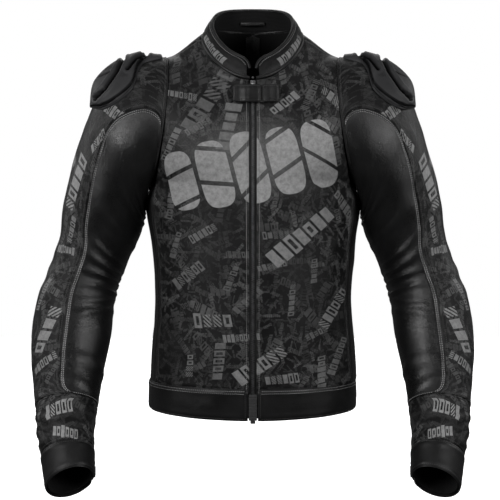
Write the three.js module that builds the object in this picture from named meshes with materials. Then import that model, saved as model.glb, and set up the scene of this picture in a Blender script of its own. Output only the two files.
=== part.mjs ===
// Leather riding jacket, built from its separate panels, trims, zips, armour and linings.
// Units are millimetres, +Z is up, -Y is the front, and the wearer's right is at -X.
// The origin is the centre of the neck opening, on the level where the collar meets the shoulders.
import * as THREE from 'three';

// ---- driving dimensions -------------------------------------------------------------------
const LEATHER = 2;              // thickness of a leather panel
const LINING = 1;               // thickness of the mesh lining
const LINING_GAP = 0.5;         // between the leather and the lining
const SEAM = 0.3;               // gap kept between two pieces that touch
const SIDES = { left: 1, right: -1 };   // the wearer's left is at +X

const NECK = { halfWidth: 80, front: -92, back: 68, frontZ: -36, sideZ: 33, backZ: 46 };
const RIM = { halfWidth: 65, front: -83, back: 66, frontZ: -3, sideZ: 58, backZ: 86 };

const ZIP = { topY: NECK.front, topZ: NECK.frontZ, bottomY: -108, bottomZ: -575, sagitta: 22 };
const WAIST_SEAM_Z = -531;
const HEM_Z = -575;
const BODY_Y = 2;               // centre of the body's sections, front to back
const SIDE_SEAM = THREE.MathUtils.degToRad(67.6);   // angle of the front side seam round the body

// half width of the body and its back profile, by height
const HALF_WIDTH = [[-200, 168], [-260, 168], [-330, 162], [-385, 158], [-430, 160.5], [-531, 168],
                    [-600, 168]];
const BACK_Y = [[60, 68], [46, 70], [0, 103], [-100, 121], [-190, 121], [-290, 108], [-390, 97],
                [-460, 101], [-531, 109], [-600, 110]];

const ARMHOLE = { x: 159, y: 5, z: -104, radius: 108, yaw: 9.7, lean: 8 };
const SLEEVE_GAP = 1.5;         // between the armhole plane and the first edge of the sleeve
const TORSO_GAP = 5;            // the body panels stop this far inside the armhole plane
const ARM_CORNER = 150;         // where the side seam meets the armhole, in degrees from the top

// Sleeve sections: distance along the arm, the outer and inner edge of the section (x, z),
// then its centre y, half depth and forward pitch in degrees.
const STATIONS = [
  { at: 0, outer: [144, 3], inner: [174, -211], y: 5, depth: 108, pitch: 0 },
  { at: 33, outer: [203, -11], inner: [178, -235], y: 5, depth: 106, pitch: 0 },
  { at: 63, outer: [243, -41], inner: [180, -252], y: 6, depth: 101, pitch: 0 },
  { at: 106, outer: [272, -103], inner: [182, -268], y: 8, depth: 92, pitch: 0 },
  { at: 155, outer: [296, -172], inner: [188, -292], y: 10, depth: 83, pitch: 0 },
  { at: 209, outer: [314, -240], inner: [203, -325], y: 11, depth: 76, pitch: 3 },
  { at: 289, outer: [336, -345], inner: [224, -376], y: 3, depth: 70, pitch: 12 },
  { at: 330, outer: [354, -392], inner: [229, -408], y: -8, depth: 69, pitch: 18 },
  { at: 381, outer: [361, -451], inner: [232, -451], y: -28, depth: 64, pitch: 24 },
  { at: 430, outer: [358, -499], inner: [241, -497], y: -51, depth: 58, pitch: 29 },
  { at: 525, outer: [343, -594], inner: [251, -586], y: -111, depth: 47.5, pitch: 37 },
  { at: 560, outer: [333, -630], inner: [249, -615], y: -139, depth: 44, pitch: 41 },
  { at: 600, outer: [321, -671], inner: [246, -647], y: -171, depth: 41, pitch: 44 },
];
const ELBOW_AT = 289;
const ELBOW_HALF = 52;          // half length of the soft elbow section
const PANEL_END_AT = 492;       // lower end of the black stretch panel
const CUFF_AT = 560;
const RIM_AT = 600;
const PANEL_BACK = 235;         // rear edge of the stretch panel, degrees from the outer line
const PANEL_FRONT = [[0, 74], [60, 66], [106, 61], [209, 63], [289, 74], [330, 79], [600, 77]];
const CUFF_ZIP_ANGLE = 206;

const NECK_TAB = { hingeX: 13, gap: 0.6, sewnEndX: 41, freeX: -31, topZ: -46, height: 28, thick: 2.4 };

// ---- colours ------------------------------------------------------------------------------
const finish = (color, roughness, metalness = 0) =>
  new THREE.MeshStandardMaterial({ color, roughness, metalness });
const PRINTED = finish(0x2b2b2c, 0.62);
const BLACK = finish(0x121212, 0.5);
const STRETCH = finish(0x161617, 0.72);
const RUBBERY = finish(0x26272a, 0.6);
const MESH_LINING = finish(0x2a2b2d, 0.9);
const TAPE = finish(0x18181a, 0.85);
const METAL = finish(0x9a9a9c, 0.32, 0.9);
const FOAM = finish(0x3a3c40, 0.9);

// ---- small maths --------------------------------------------------------------------------
const V = (x, y, z) => new THREE.Vector3(x, y, z);
const rad = THREE.MathUtils.degToRad;
const mix = (a, b, t) => a + (b - a) * t;
const clamp01 = (t) => Math.min(1, Math.max(0, t));
const smooth = (a, b, t) => {
  const k = clamp01((t - a) / (b - a));
  return k * k * (3 - 2 * k);
};

// Smooth curve through [parameter, value] pairs.
function through(pairs, t) {
  const rising = pairs[1][0] > pairs[0][0];
  const list = rising ? pairs : [...pairs].reverse();
  const last = list.length - 1;
  const slope = (i) => {
    const a = list[Math.max(0, i - 1)];
    const b = list[Math.min(last, i + 1)];
    return (b[1] - a[1]) / (b[0] - a[0]);
  };
  let i = 0;
  while (i < last - 1 && t > list[i + 1][0]) i += 1;
  const [t0, p0] = list[i];
  const [t1, p1] = list[i + 1];
  const h = t1 - t0;
  return hermite(p0, slope(i) * h, p1, slope(i + 1) * h, clamp01((t - t0) / h));
}

function hermite(p0, m0, p1, m1, u) {
  const u2 = u * u;
  const u3 = u2 * u;
  return (2 * u3 - 3 * u2 + 1) * p0 + (u3 - 2 * u2 + u) * m0 + (3 * u2 - 2 * u3) * p1 + (u3 - u2) * m1;
}

function hermiteRow(a, ta, b, tb, u) {
  const along = (key) => hermite(a[key], ta[key], b[key], tb[key], u);
  return V(along('x'), along('y'), along('z'));
}

// ---- the body's surfaces ------------------------------------------------------------------
const halfWidth = (z) => through(HALF_WIDTH, z);
const backY = (z) => through(BACK_Y, z);

// The front zip follows one arc in the middle plane.
const chord = Math.hypot(ZIP.bottomY - ZIP.topY, ZIP.bottomZ - ZIP.topZ);
const zipRadius = (chord * chord) / (8 * ZIP.sagitta) + ZIP.sagitta / 2;
const zipMid = V(0, (ZIP.topY + ZIP.bottomY) / 2, (ZIP.topZ + ZIP.bottomZ) / 2);
const zipInward = V(0, -(ZIP.bottomZ - ZIP.topZ), ZIP.bottomY - ZIP.topY).normalize();
const zipCentre = zipMid.clone().addScaledVector(zipInward, zipRadius - ZIP.sagitta);
const zipY = (z) => zipCentre.y - Math.sqrt(zipRadius ** 2 - (z - zipCentre.z) ** 2);
const zipNormal = (z) => V(0, zipY(z) - zipCentre.y, z - zipCentre.z).normalize();

// Horizontal section of the body; angle 0 is the centre front, pi the centre back.
function section(angle, z) {
  const depth = Math.cos(angle) > 0 ? BODY_Y - zipY(z) : backY(z) - BODY_Y;
  return V(halfWidth(z) * Math.sin(angle), BODY_Y - depth * Math.cos(angle), z);
}

function sectionTangent(angle, z) {
  const depth = angle < Math.PI / 2 ? BODY_Y - zipY(z) : backY(z) - BODY_Y;
  return V(halfWidth(z) * Math.cos(angle), depth * Math.sin(angle), 0);
}

// A closed loop round the neck; angle 0 is the centre back, pi the centre front.
function neckLoop(ring, angle) {
  const c2 = (ring.backZ + ring.frontZ - 2 * ring.sideZ) / 4;
  const mean = (ring.backZ + ring.frontZ + 2 * ring.sideZ) / 4;
  const c1 = (ring.backZ - ring.frontZ) / 2;
  return V(
    ring.halfWidth * Math.sin(angle),
    (ring.back + ring.front) / 2 + ((ring.back - ring.front) / 2) * Math.cos(angle),
    mean + c1 * Math.cos(angle) + c2 * Math.cos(2 * angle),
  );
}

// Armhole frame on the +X side: the axis points away from the body.
const armYaw = rad(ARMHOLE.yaw);
const armLean = rad(ARMHOLE.lean);
const armFront = V(-Math.sin(armYaw), -Math.cos(armYaw), 0);
const leaning = V(-Math.sin(armLean), 0, Math.cos(armLean));
const armUp = leaning.clone().addScaledVector(armFront, -leaning.dot(armFront)).normalize();
const armAxis = new THREE.Vector3().crossVectors(armUp, armFront).normalize();
const armCentre = V(ARMHOLE.x, ARMHOLE.y, ARMHOLE.z);

const armRadial = (deg) => armUp.clone().multiplyScalar(Math.cos(rad(deg)))
  .addScaledVector(armFront, Math.sin(rad(deg)));

function armholePoint(deg, alongAxis, radius = ARMHOLE.radius) {
  return armCentre.clone().addScaledVector(armRadial(deg), radius).addScaledVector(armAxis, alongAxis);
}

// Direction in which the body panels run out into the armhole: outwards and a little downhill.
const RUN_OUT = 0.93;
const RUN_DOWN = 0.37;
function armholeTangent(deg, seamTangent) {
  const over = armAxis.clone().multiplyScalar(RUN_OUT).addScaledVector(armRadial(deg), -RUN_DOWN);
  return over.lerp(seamTangent.clone().normalize(), smooth(70, ARM_CORNER, Math.abs(deg))).normalize();
}

// Rows of the front and back panels start on the neck or centre line and end on the armhole or
// side seam. The shares say how much of a panel's height each of those takes.
const NECK_SHARE = 0.2;
const ARM_SHARE = 0.5;
const ARM_ANGLE = [[0, 0], [NECK_SHARE, 38], [ARM_SHARE, ARM_CORNER]];
const SEAM_TOP_Z = armholePoint(ARM_CORNER, -TORSO_GAP).z;

// Fullness of the chest and of the shoulder blades: how far, where, and how wide.
const CHEST = { rise: -9, x: 80, z: -165, wide: 60, high: 75 };
const SHOULDER_BLADE = { rise: 4, x: 85, z: -130, wide: 55, high: 85 };
const swell = (form, p) => form.rise
  * Math.exp(-(((p.x - form.x) / form.wide) ** 2) - ((p.z - form.z) / form.high) ** 2);

function bodyPanel(u, v, facing) {
  const front = facing === 'front';
  const seamAngle = front ? SIDE_SEAM : Math.PI - SIDE_SEAM;
  const centreZ = front ? ZIP.topZ : NECK.backZ;
  let a;
  let ta;
  if (v < NECK_SHARE) {
    const t = v / NECK_SHARE;
    const angle = front ? mix(Math.PI / 2, Math.PI, t) : mix(Math.PI / 2, 0, t);
    a = neckLoop(NECK, angle);
    ta = V(mix(RUN_OUT, 0.95, t), 0, mix(-RUN_DOWN, -0.3, t));
  } else {
    const z = v < ARM_SHARE
      ? mix(centreZ, SEAM_TOP_Z, (v - NECK_SHARE) / (ARM_SHARE - NECK_SHARE))
      : mix(SEAM_TOP_Z, WAIST_SEAM_Z, (v - ARM_SHARE) / (1 - ARM_SHARE));
    a = V(0, front ? zipY(z) : backY(z), z);
    ta = V(0.95, 0, -0.3).lerp(V(1, 0, 0), smooth(NECK_SHARE, NECK_SHARE + 0.13, v));
  }
  ta.normalize();
  const z = mix(SEAM_TOP_Z, WAIST_SEAM_Z, clamp01((v - ARM_SHARE) / (1 - ARM_SHARE)));
  const seam = sectionTangent(seamAngle, z).multiplyScalar(front ? 1 : -1);
  let b;
  let tb;
  if (v < ARM_SHARE) {
    const deg = through(ARM_ANGLE, v);
    b = armholePoint(front ? deg : -deg, -TORSO_GAP);
    tb = armholeTangent(front ? deg : -deg, seam);
  } else {
    const corner = armholePoint(front ? ARM_CORNER : -ARM_CORNER, -TORSO_GAP);
    const join = smooth(ARM_SHARE, ARM_SHARE + 0.12, v);
    b = section(seamAngle, z);
    b.addScaledVector(corner.sub(section(seamAngle, SEAM_TOP_Z)), 1 - join);
    tb = seam.clone().normalize();
  }
  const reach = a.distanceTo(b);
  const lower = smooth(NECK_SHARE, ARM_SHARE, v);
  const la = mix(reach * 1.1, halfWidth(z) * SIDE_SEAM, lower);
  const lb = mix(reach, seam.length() * SIDE_SEAM, lower);
  const p = hermiteRow(a, ta.multiplyScalar(la), b, tb.multiplyScalar(lb), u);
  p.y += swell(front ? CHEST : SHOULDER_BLADE, p) * 4 * u * (1 - u);
  return p;
}

const frontPanel = (u, v) => bodyPanel(u, v, 'front');
const backPanel = (u, v) => bodyPanel(u, v, 'back');

function sidePanel(u, v) {
  const share = mix(ARM_SHARE, 1, v);
  const a = bodyPanel(1, share, 'front');
  const b = bodyPanel(1, share, 'back');
  const z = mix(SEAM_TOP_Z, WAIST_SEAM_Z, v);
  const span = Math.PI - 2 * SIDE_SEAM;
  const low = smooth(0, 0.15, v);
  const reach = 180 - ARM_CORNER;
  const arc = (deg) => armholePoint(deg + 1, 0).sub(armholePoint(deg - 1, 0)).multiplyScalar(reach);
  const arcA = arc(ARM_CORNER);
  const arcB = arc(-ARM_CORNER);
  const ta = arcA.lerp(sectionTangent(SIDE_SEAM, z).multiplyScalar(span), low);
  const tb = arcB.lerp(sectionTangent(Math.PI - SIDE_SEAM, z).multiplyScalar(span), low);
  return hermiteRow(a, ta, b, tb, u);
}

// Sleeve surface; angle 0 is its outer line, 90 the front, 180 the inner line, 270 the back.
const station = (key, t) => through(STATIONS.map((s) => [s.at, key(s)]), t);

function sleeve(t, deg) {
  const ox = station((s) => s.outer[0], t);
  const oz = station((s) => s.outer[1], t);
  const ix = station((s) => s.inner[0], t);
  const iz = station((s) => s.inner[1], t);
  const pitch = rad(station((s) => s.pitch, t));
  const yaw = armYaw * (1 - smooth(0, 90, t));
  const side = V((ox - ix) / 2, 0, (oz - iz) / 2);
  const front = V(-Math.sin(yaw), -Math.cos(yaw) * Math.cos(pitch), Math.sin(pitch));
  front.multiplyScalar(station((s) => s.depth, t));
  return V((ox + ix) / 2, station((s) => s.y, t), (oz + iz) / 2)
    .addScaledVector(side, Math.cos(rad(deg)))
    .addScaledVector(front, Math.sin(rad(deg)))
    .addScaledVector(armAxis, SLEEVE_GAP * (1 - smooth(0, 40, t)));
}
const panelFront = (t) => through(PANEL_FRONT, t);

// Frame on the sleeve: x across, y towards the shoulder, z outwards.
function sleeveFrame(t, deg, side, lift) {
  const at = mirrored((u, v) => sleeve(v, u), side);
  const up = at(deg, t - 1).sub(at(deg, t + 1)).normalize();
  const out = faceNormal(at, deg, t).multiplyScalar(side);
  const across = new THREE.Vector3().crossVectors(up, out).normalize();
  const frame = new THREE.Matrix4().makeBasis(across, up, new THREE.Vector3().crossVectors(across, up));
  return frame.setPosition(at(deg, t).addScaledVector(out, lift));
}

// Direction along the arm at the cuff's edge, square to that edge's plane.
function rimDirection(side) {
  const edge = mirrored((u, v) => sleeve(v, u), side);
  const across = edge(0, RIM_AT).sub(edge(180, RIM_AT));
  return across.cross(edge(90, RIM_AT).sub(edge(270, RIM_AT))).normalize();
}

const mirrored = (surface, side) => (u, v) => {
  const p = surface(u, v);
  p.x *= side;
  return p;
};

// ---- building closed pieces ---------------------------------------------------------------
function faceNormal(surface, u, v) {
  const e = 1e-3;
  const du = surface(u + e, v).sub(surface(u - e, v));
  const dv = surface(u, v + e).sub(surface(u, v - e));
  return du.cross(dv).normalize();
}

// Closed slab between two offsets of a surface. outer and inner are numbers or functions of (u, v),
// trim drops that many grid lines at the start and end of u and of v, and square is a direction that
// the offsets have no part of, which leaves the slab's ends flat.
function slab(surface, options) {
  const { u = [0, 1], v = [0, 1], outer = 0, inner = -LEATHER, flip = 1 } = options;
  const { trim = [0, 0, 0, 0], square } = options;
  const level = (offset, a, b) => (typeof offset === 'function' ? offset(a, b) : offset);
  const nu = options.nu - trim[0] - trim[1];
  const nv = options.nv - trim[2] - trim[3];
  const at = (i, j) => [
    mix(u[0], u[1], (i + trim[0]) / options.nu),
    mix(v[0], v[1], (j + trim[2]) / options.nv),
  ];
  const points = [];
  for (const offset of [outer, inner]) {
    for (let j = 0; j <= nv; j += 1) {
      for (let i = 0; i <= nu; i += 1) {
        const [a, b] = at(i, j);
        const normal = faceNormal(surface, a, b);
        if (square) normal.addScaledVector(square, -normal.dot(square)).normalize();
        points.push(surface(a, b).addScaledVector(normal, flip * level(offset, a, b)));
      }
    }
  }
  const id = (k, i, j) => k * (nu + 1) * (nv + 1) + j * (nu + 1) + i;
  const index = [];
  const quad = (a, b, c, d) => index.push(a, b, c, a, c, d);
  for (let j = 0; j < nv; j += 1) {
    for (let i = 0; i < nu; i += 1) {
      quad(id(0, i, j), id(0, i + 1, j), id(0, i + 1, j + 1), id(0, i, j + 1));
      quad(id(1, i, j), id(1, i, j + 1), id(1, i + 1, j + 1), id(1, i + 1, j));
    }
  }
  for (let i = 0; i < nu; i += 1) {
    quad(id(0, i + 1, 0), id(0, i, 0), id(1, i, 0), id(1, i + 1, 0));
    quad(id(0, i, nv), id(0, i + 1, nv), id(1, i + 1, nv), id(1, i, nv));
  }
  for (let j = 0; j < nv; j += 1) {
    quad(id(0, 0, j), id(0, 0, j + 1), id(1, 0, j + 1), id(1, 0, j));
    quad(id(0, nu, j + 1), id(0, nu, j), id(1, nu, j), id(1, nu, j + 1));
  }
  return solid(points, index);
}

// Closed ring between two offsets of a surface that closes on itself in its first parameter.
function ring(surface, { v, nu, nv, outer = 0, inner = -LEATHER, flip = 1 }) {
  const points = [];
  for (const offset of [outer, inner]) {
    for (let j = 0; j <= nv; j += 1) {
      for (let i = 0; i < nu; i += 1) {
        const a = (360 * i) / nu;
        const b = mix(v[0], v[1], j / nv);
        points.push(surface(a, b).addScaledVector(faceNormal(surface, a, b), flip * offset));
      }
    }
  }
  const id = (k, i, j) => k * nu * (nv + 1) + j * nu + (i % nu);
  const index = [];
  const quad = (a, b, c, d) => index.push(a, b, c, a, c, d);
  for (let i = 0; i < nu; i += 1) {
    for (let j = 0; j < nv; j += 1) {
      quad(id(0, i, j), id(0, i + 1, j), id(0, i + 1, j + 1), id(0, i, j + 1));
      quad(id(1, i, j), id(1, i, j + 1), id(1, i + 1, j + 1), id(1, i + 1, j));
    }
    quad(id(0, i + 1, 0), id(0, i, 0), id(1, i, 0), id(1, i + 1, 0));
    quad(id(0, i, nv), id(0, i + 1, nv), id(1, i + 1, nv), id(1, i, nv));
  }
  return solid(points, index);
}

// Makes a geometry whose faces point outwards.
function solid(points, index) {
  let volume = 0;
  for (let k = 0; k < index.length; k += 3) {
    const [a, b, c] = [points[index[k]], points[index[k + 1]], points[index[k + 2]]];
    volume += a.dot(b.clone().cross(c));
  }
  const faces = volume > 0 ? index : [...index].reverse();
  const geometry = new THREE.BufferGeometry();
  const flat = points.flatMap((p) => [p.x, p.y, p.z]);
  geometry.setAttribute('position', new THREE.Float32BufferAttribute(flat, 3));
  geometry.setIndex(faces);
  geometry.computeVertexNormals();
  return geometry;
}

const jacket = new THREE.Group();
function add(name, geometry, material) {
  const mesh = new THREE.Mesh(geometry, material);
  mesh.name = name;
  jacket.add(mesh);
}

// Closed ring of a small closed section.
function torus(surface, nu, nk) {
  const points = [];
  for (let i = 0; i < nu; i += 1) {
    for (let k = 0; k < nk; k += 1) points.push(surface((360 * i) / nu, k));
  }
  const id = (i, k) => (i % nu) * nk + (k % nk);
  const index = [];
  for (let i = 0; i < nu; i += 1) {
    for (let k = 0; k < nk; k += 1) {
      index.push(id(i, k), id(i + 1, k), id(i + 1, k + 1), id(i, k), id(i + 1, k + 1), id(i, k + 1));
    }
  }
  return solid(points, index);
}

// ---- body panels --------------------------------------------------------------------------
const ZIP_EDGE = 8;             // the front panels stop this far from the centre line
const SEAM_SHARE = 0.998;       // a panel covers this share of its rows, which leaves the seam gap
const PANEL_ROWS = { v: [0.006, 0.9985], nu: 8, nv: 18 };
const centreInset = (v) => ZIP_EDGE / mix(140, 200, smooth(0.15, 0.5, v));
const spineInset = (v) => 0.0015 + 0.03 * smooth(0.1, NECK_SHARE, v) * (1 - smooth(NECK_SHARE, 0.4, v));
const sideInset = (v) => 0.004 + 0.016 * (1 - smooth(0, 0.12, v));
const frontOf = (u, v) => frontPanel(mix(smooth(0.1, NECK_SHARE, v) * centreInset(v), SEAM_SHARE, u), v);
const backOf = (u, v) => backPanel(mix(spineInset(v), SEAM_SHARE, u), v);
const sideOf = (u, v) => sidePanel(mix(sideInset(v), 1 - sideInset(v), u), v);
const LINING_TOP = -LEATHER - LINING_GAP;
for (const [name, side] of Object.entries(SIDES)) {
  const front = mirrored(frontOf, side);
  const back = mirrored(backOf, side);
  add(`front_panel_${name}`, slab(front, { ...PANEL_ROWS, flip: -side }), PRINTED);
  add(`back_panel_${name}`, slab(back, { ...PANEL_ROWS, flip: side }), PRINTED);
  const sideRows = { v: [0.012, 0.997], nu: 5, nv: 8, flip: -side };
  add(`side_panel_${name}`, slab(mirrored(sideOf, side), sideRows), STRETCH);
  const lining = { ...PANEL_ROWS, outer: LINING_TOP, inner: LINING_TOP - LINING };
  const frontLining = slab(front, { ...lining, flip: -side, trim: [2, 1, 1, 1] });
  const backLining = slab(back, { ...lining, flip: side, trim: [0, 1, 1, 1] });
  add(`front_lining_${name}`, frontLining, MESH_LINING);
  add(`back_lining_${name}`, backLining, MESH_LINING);
}

// ---- waistband ----------------------------------------------------------------------------
const BAND = { top: WAIST_SEAM_Z - SEAM, outer: 1.2, inner: -2.2 };
const bandPiece = (from, to, count) => slab(section, {
  ...BAND, u: [from, to], v: [BAND.top, HEM_Z], nu: count, nv: 1, square: V(0, 0, 1),
});
const bandEdge = Math.asin(ZIP_EDGE / halfWidth(HEM_Z));
const bandSeam = SEAM / 2 / halfWidth(HEM_Z);
const quarter = Math.PI / 2;
add('waistband_front_left', bandPiece(bandEdge, quarter - bandSeam, 12), BLACK);
add('waistband_front_right', bandPiece(-quarter + bandSeam, -bandEdge, 12), BLACK);
add('waistband_back', bandPiece(quarter + bandSeam, 3 * quarter - bandSeam, 20), BLACK);

// ---- collar -------------------------------------------------------------------------------
const COLLAR_END = rad(176.5);
const CORNER_START = rad(160);
const CORNER = { power: 2.4, low: 0.3 };   // the rounded front corner, and its height at the end
const COLLAR_BOW = 2.5;                    // the stand bows outwards by this much
function collar(angle, t) {
  const a = Math.abs(angle);
  const corner = clamp01((a - CORNER_START) / (COLLAR_END - CORNER_START));
  const round = Math.pow(1 - Math.pow(corner, CORNER.power), 1 / CORNER.power);
  const height = mix(CORNER.low, 1, round);
  const base = neckLoop(NECK, angle);
  const rim = neckLoop(RIM, angle);
  const bow = COLLAR_BOW * Math.sin(Math.PI * t);
  return base.lerp(rim, t * height).add(V(Math.sin(angle), 0.8 * Math.cos(angle), 0).multiplyScalar(bow));
}
// Grid lines run closer together towards the rounded front ends, where the walls are lower too.
const collarAngle = (u) => COLLAR_END * (1.5 * u - 0.5 * u ** 3);
const collarBand = (u, t) => collar(collarAngle(u), t);
const collarWall = (u, t) => collar(collarAngle(u), t * (1 - 0.33 * smooth(0.72, 1, Math.abs(u))));
const wall = { u: [-0.88, 0.88], v: [0.07, 0.84], nu: 36, nv: 3, flip: -1 };
const wallLining = { ...wall, trim: [2, 2, 0, 0], outer: -1.8, inner: -3.2 };
add('collar_stand', slab(collarWall, { ...wall, outer: 1.6, inner: -1.2 }), PRINTED);
add('collar_lining', slab(collarWall, wallLining), MESH_LINING);
add('collar_binding', slab(collarBand, {
  u: [-0.999, 0.999], v: [0.93, 1], nu: 36, nv: 1, outer: 2.2, inner: -3.6, flip: -1,
}), BLACK);

const LOOP = { width: 42, rise: 7, strap: 2, height: 6, stand: 4.6, level: 0.3 };
function hangerLoop(u, v) {
  const p = collar(mix(-LOOP.width, LOOP.width, u) / 2 / NECK.halfWidth, LOOP.level);
  return p.add(V(0, -LOOP.stand - LOOP.rise * Math.sin(Math.PI * u), v * LOOP.height));
}
add('hanger_loop', slab(hangerLoop, { nu: 8, nv: 1, inner: -LOOP.strap, flip: -1 }), BLACK);

// ---- front closure ------------------------------------------------------------------------
const ZIP_TOP = -40;
const ZIP_END = -574;
const STRIP_STEPS = 14;
const zipStrip = (x, z) => section(Math.asin(x / halfWidth(z)), z);
const strip = (x, z, count, outer, inner) => slab(zipStrip, { u: x, v: z, nu: 1, nv: count, outer, inner });
for (const [name, side] of Object.entries(SIDES)) {
  const across = (a, b) => (side > 0 ? [a, b] : [-b, -a]);
  const tape = strip(across(2.7, 14), [ZIP_TOP - 14, ZIP_END], STRIP_STEPS, -3.4, -4.2);
  add(`zip_tape_${name}`, tape, TAPE);
  add(`zip_teeth_${name}`, strip(across(0.15, 2.4), [ZIP_TOP, ZIP_END], STRIP_STEPS, 0, -3.8), METAL);
}
add('storm_flap', strip([-24, 24], [ZIP_TOP - 14, -566], STRIP_STEPS, -5.2, -6.6), BLACK);
add('zip_end_box', strip([-4, 4], [ZIP_END - SEAM, ZIP_END - 9], 1, 0.4, -3.4), METAL);
add('hem_zip_guard', strip([-6.5, 6.5], [-536, -571], 4, 3, 0.4), STRETCH);

// Places a piece made flat on XY (x across, y up the zip, z outwards) on the zip line.
function onZip(geometry, z, lift) {
  const out = zipNormal(z);
  const up = V(0, out.z, -out.y);
  const frame = new THREE.Matrix4().makeBasis(V(1, 0, 0), up, out);
  frame.setPosition(V(0, zipY(z), z).addScaledVector(out, lift));
  return geometry.applyMatrix4(frame);
}

function rounded(width, height, radius) {
  const shape = new THREE.Shape();
  const [w, h] = [width / 2 - radius, height / 2 - radius];
  const corners = [[w, -h, 3], [w, h, 0], [-w, h, 1], [-w, -h, 2]];
  for (const [x, y, turn] of corners) shape.absarc(x, y, radius, turn * quarter, (turn + 1) * quarter);
  return shape;
}
const plate = (shape, depth) => new THREE.ExtrudeGeometry(shape, {
  depth, bevelEnabled: false, curveSegments: 4,
});

const PULL_EYE = 2.8;           // from the end of a pull to the middle of its eye, which it turns about
function pullShape(width, height) {
  const shape = rounded(width, height, 2);
  const eye = new THREE.Path();
  eye.absarc(0, height / 2 - PULL_EYE, 1.2, 0, 2 * Math.PI, true);
  shape.holes.push(eye);
  return shape;
}
const SLIDER = { z: -46, width: 9, height: 13, thick: 1.8, lift: 0.5 };
const PULL = { below: 10, width: 6.5, height: 24, thick: 1.3, lift: 2.7 };
const sliderPlate = plate(rounded(SLIDER.width, SLIDER.height, 2), SLIDER.thick);
const pullPlate = plate(pullShape(PULL.width, PULL.height), PULL.thick);
add('main_zip_slider', onZip(sliderPlate, SLIDER.z, SLIDER.lift), METAL);
add('main_zip_pull', onZip(pullPlate, SLIDER.z - PULL.below, PULL.lift), METAL);

// Neck tab: a strap that arches over the top of the zip, sewn down at the wearer's left.
const TAB_ARCH = { rest: 1.2, rise: 6.3, half: 17, spread: 0.0022 };
const tabLift = (x) => TAB_ARCH.rest + TAB_ARCH.rise * Math.exp(-((x / TAB_ARCH.half) ** 4))
  + TAB_ARCH.spread * x * x;
const tabSurface = (x, z) => V(x, zipY(z) - tabLift(x), z);
const tabRows = {
  v: [NECK_TAB.topZ, NECK_TAB.topZ - NECK_TAB.height], nv: 2, outer: NECK_TAB.thick, inner: 0,
};
const tabFree = [NECK_TAB.freeX, NECK_TAB.hingeX];
const tabSewn = [NECK_TAB.hingeX + NECK_TAB.gap, NECK_TAB.sewnEndX];
add('neck_tab', slab(tabSurface, { ...tabRows, u: tabFree, nu: 12 }), BLACK);
add('neck_tab_anchor', slab(tabSurface, { ...tabRows, u: tabSewn, nu: 6 }), BLACK);

// ---- inside of the body -------------------------------------------------------------------
const protector = (u, v) => {
  const p = backPanel(Math.abs(u), v);
  p.x *= Math.sign(u) || 1;
  return p;
};
add('back_protector', slab(protector, {
  u: [-0.42, 0.42], v: [0.3, 0.86], nu: 8, nv: 10, outer: -6.6, inner: -15.6,
}), FOAM);
add('connection_zip', slab(section, {
  u: [rad(125), rad(235)], v: [-541, -552], nu: 16, nv: 1, outer: -4, inner: -6.2,
}), TAPE);

// ---- arms ---------------------------------------------------------------------------------
const UPPER_END = ELBOW_AT - ELBOW_HALF;
const FOREARM_START = ELBOW_AT + ELBOW_HALF;
const CUP = { from: 3, to: 96, tongue: 17, wide: 50, foot: 20, base: 4, rise: 13, inner: 1.4 };
const cupHalf = (t) => CUP.tongue + (CUP.wide - CUP.tongue) * smooth(20, 38, t)
  - (CUP.wide - CUP.foot) * Math.pow(smooth(52, CUP.to, t), 1.3);
const cupDome = (u, t) => CUP.base + CUP.rise * Math.pow(1 - u * u, 0.7)
  * smooth(CUP.from - 14, CUP.from + 22, t) * (1 - smooth(CUP.to - 26, CUP.to + 6, t));

const CUFF_SLIDER = { at: 572, width: 6.4, height: 9, thick: 1.4, lift: 1.6 };
const CUFF_PULL = { at: 587, width: 5, height: 20, thick: 1.1, lift: 3.4 };
const CUFF_SLOT = 4.5;          // half of the gap for the cuff zip, in degrees
const CUFF_TEETH = 3.6;         // half of the width of its teeth, in degrees
const WEDGE_INSET = 0.18;       // degrees left free beside each seam of the sleeve
const PAD = { reach: 46, from: 22, to: 98, outer: -5.5, inner: -13 };
const ELBOW_PAD = { angle: 306, reach: 44, from: -34, to: 92, outer: -7, inner: -14 };
const WELT = { sides: 5, along: -2.4, half: 1.9, high: 2.6, sink: 1, steps: 30 };

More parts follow.
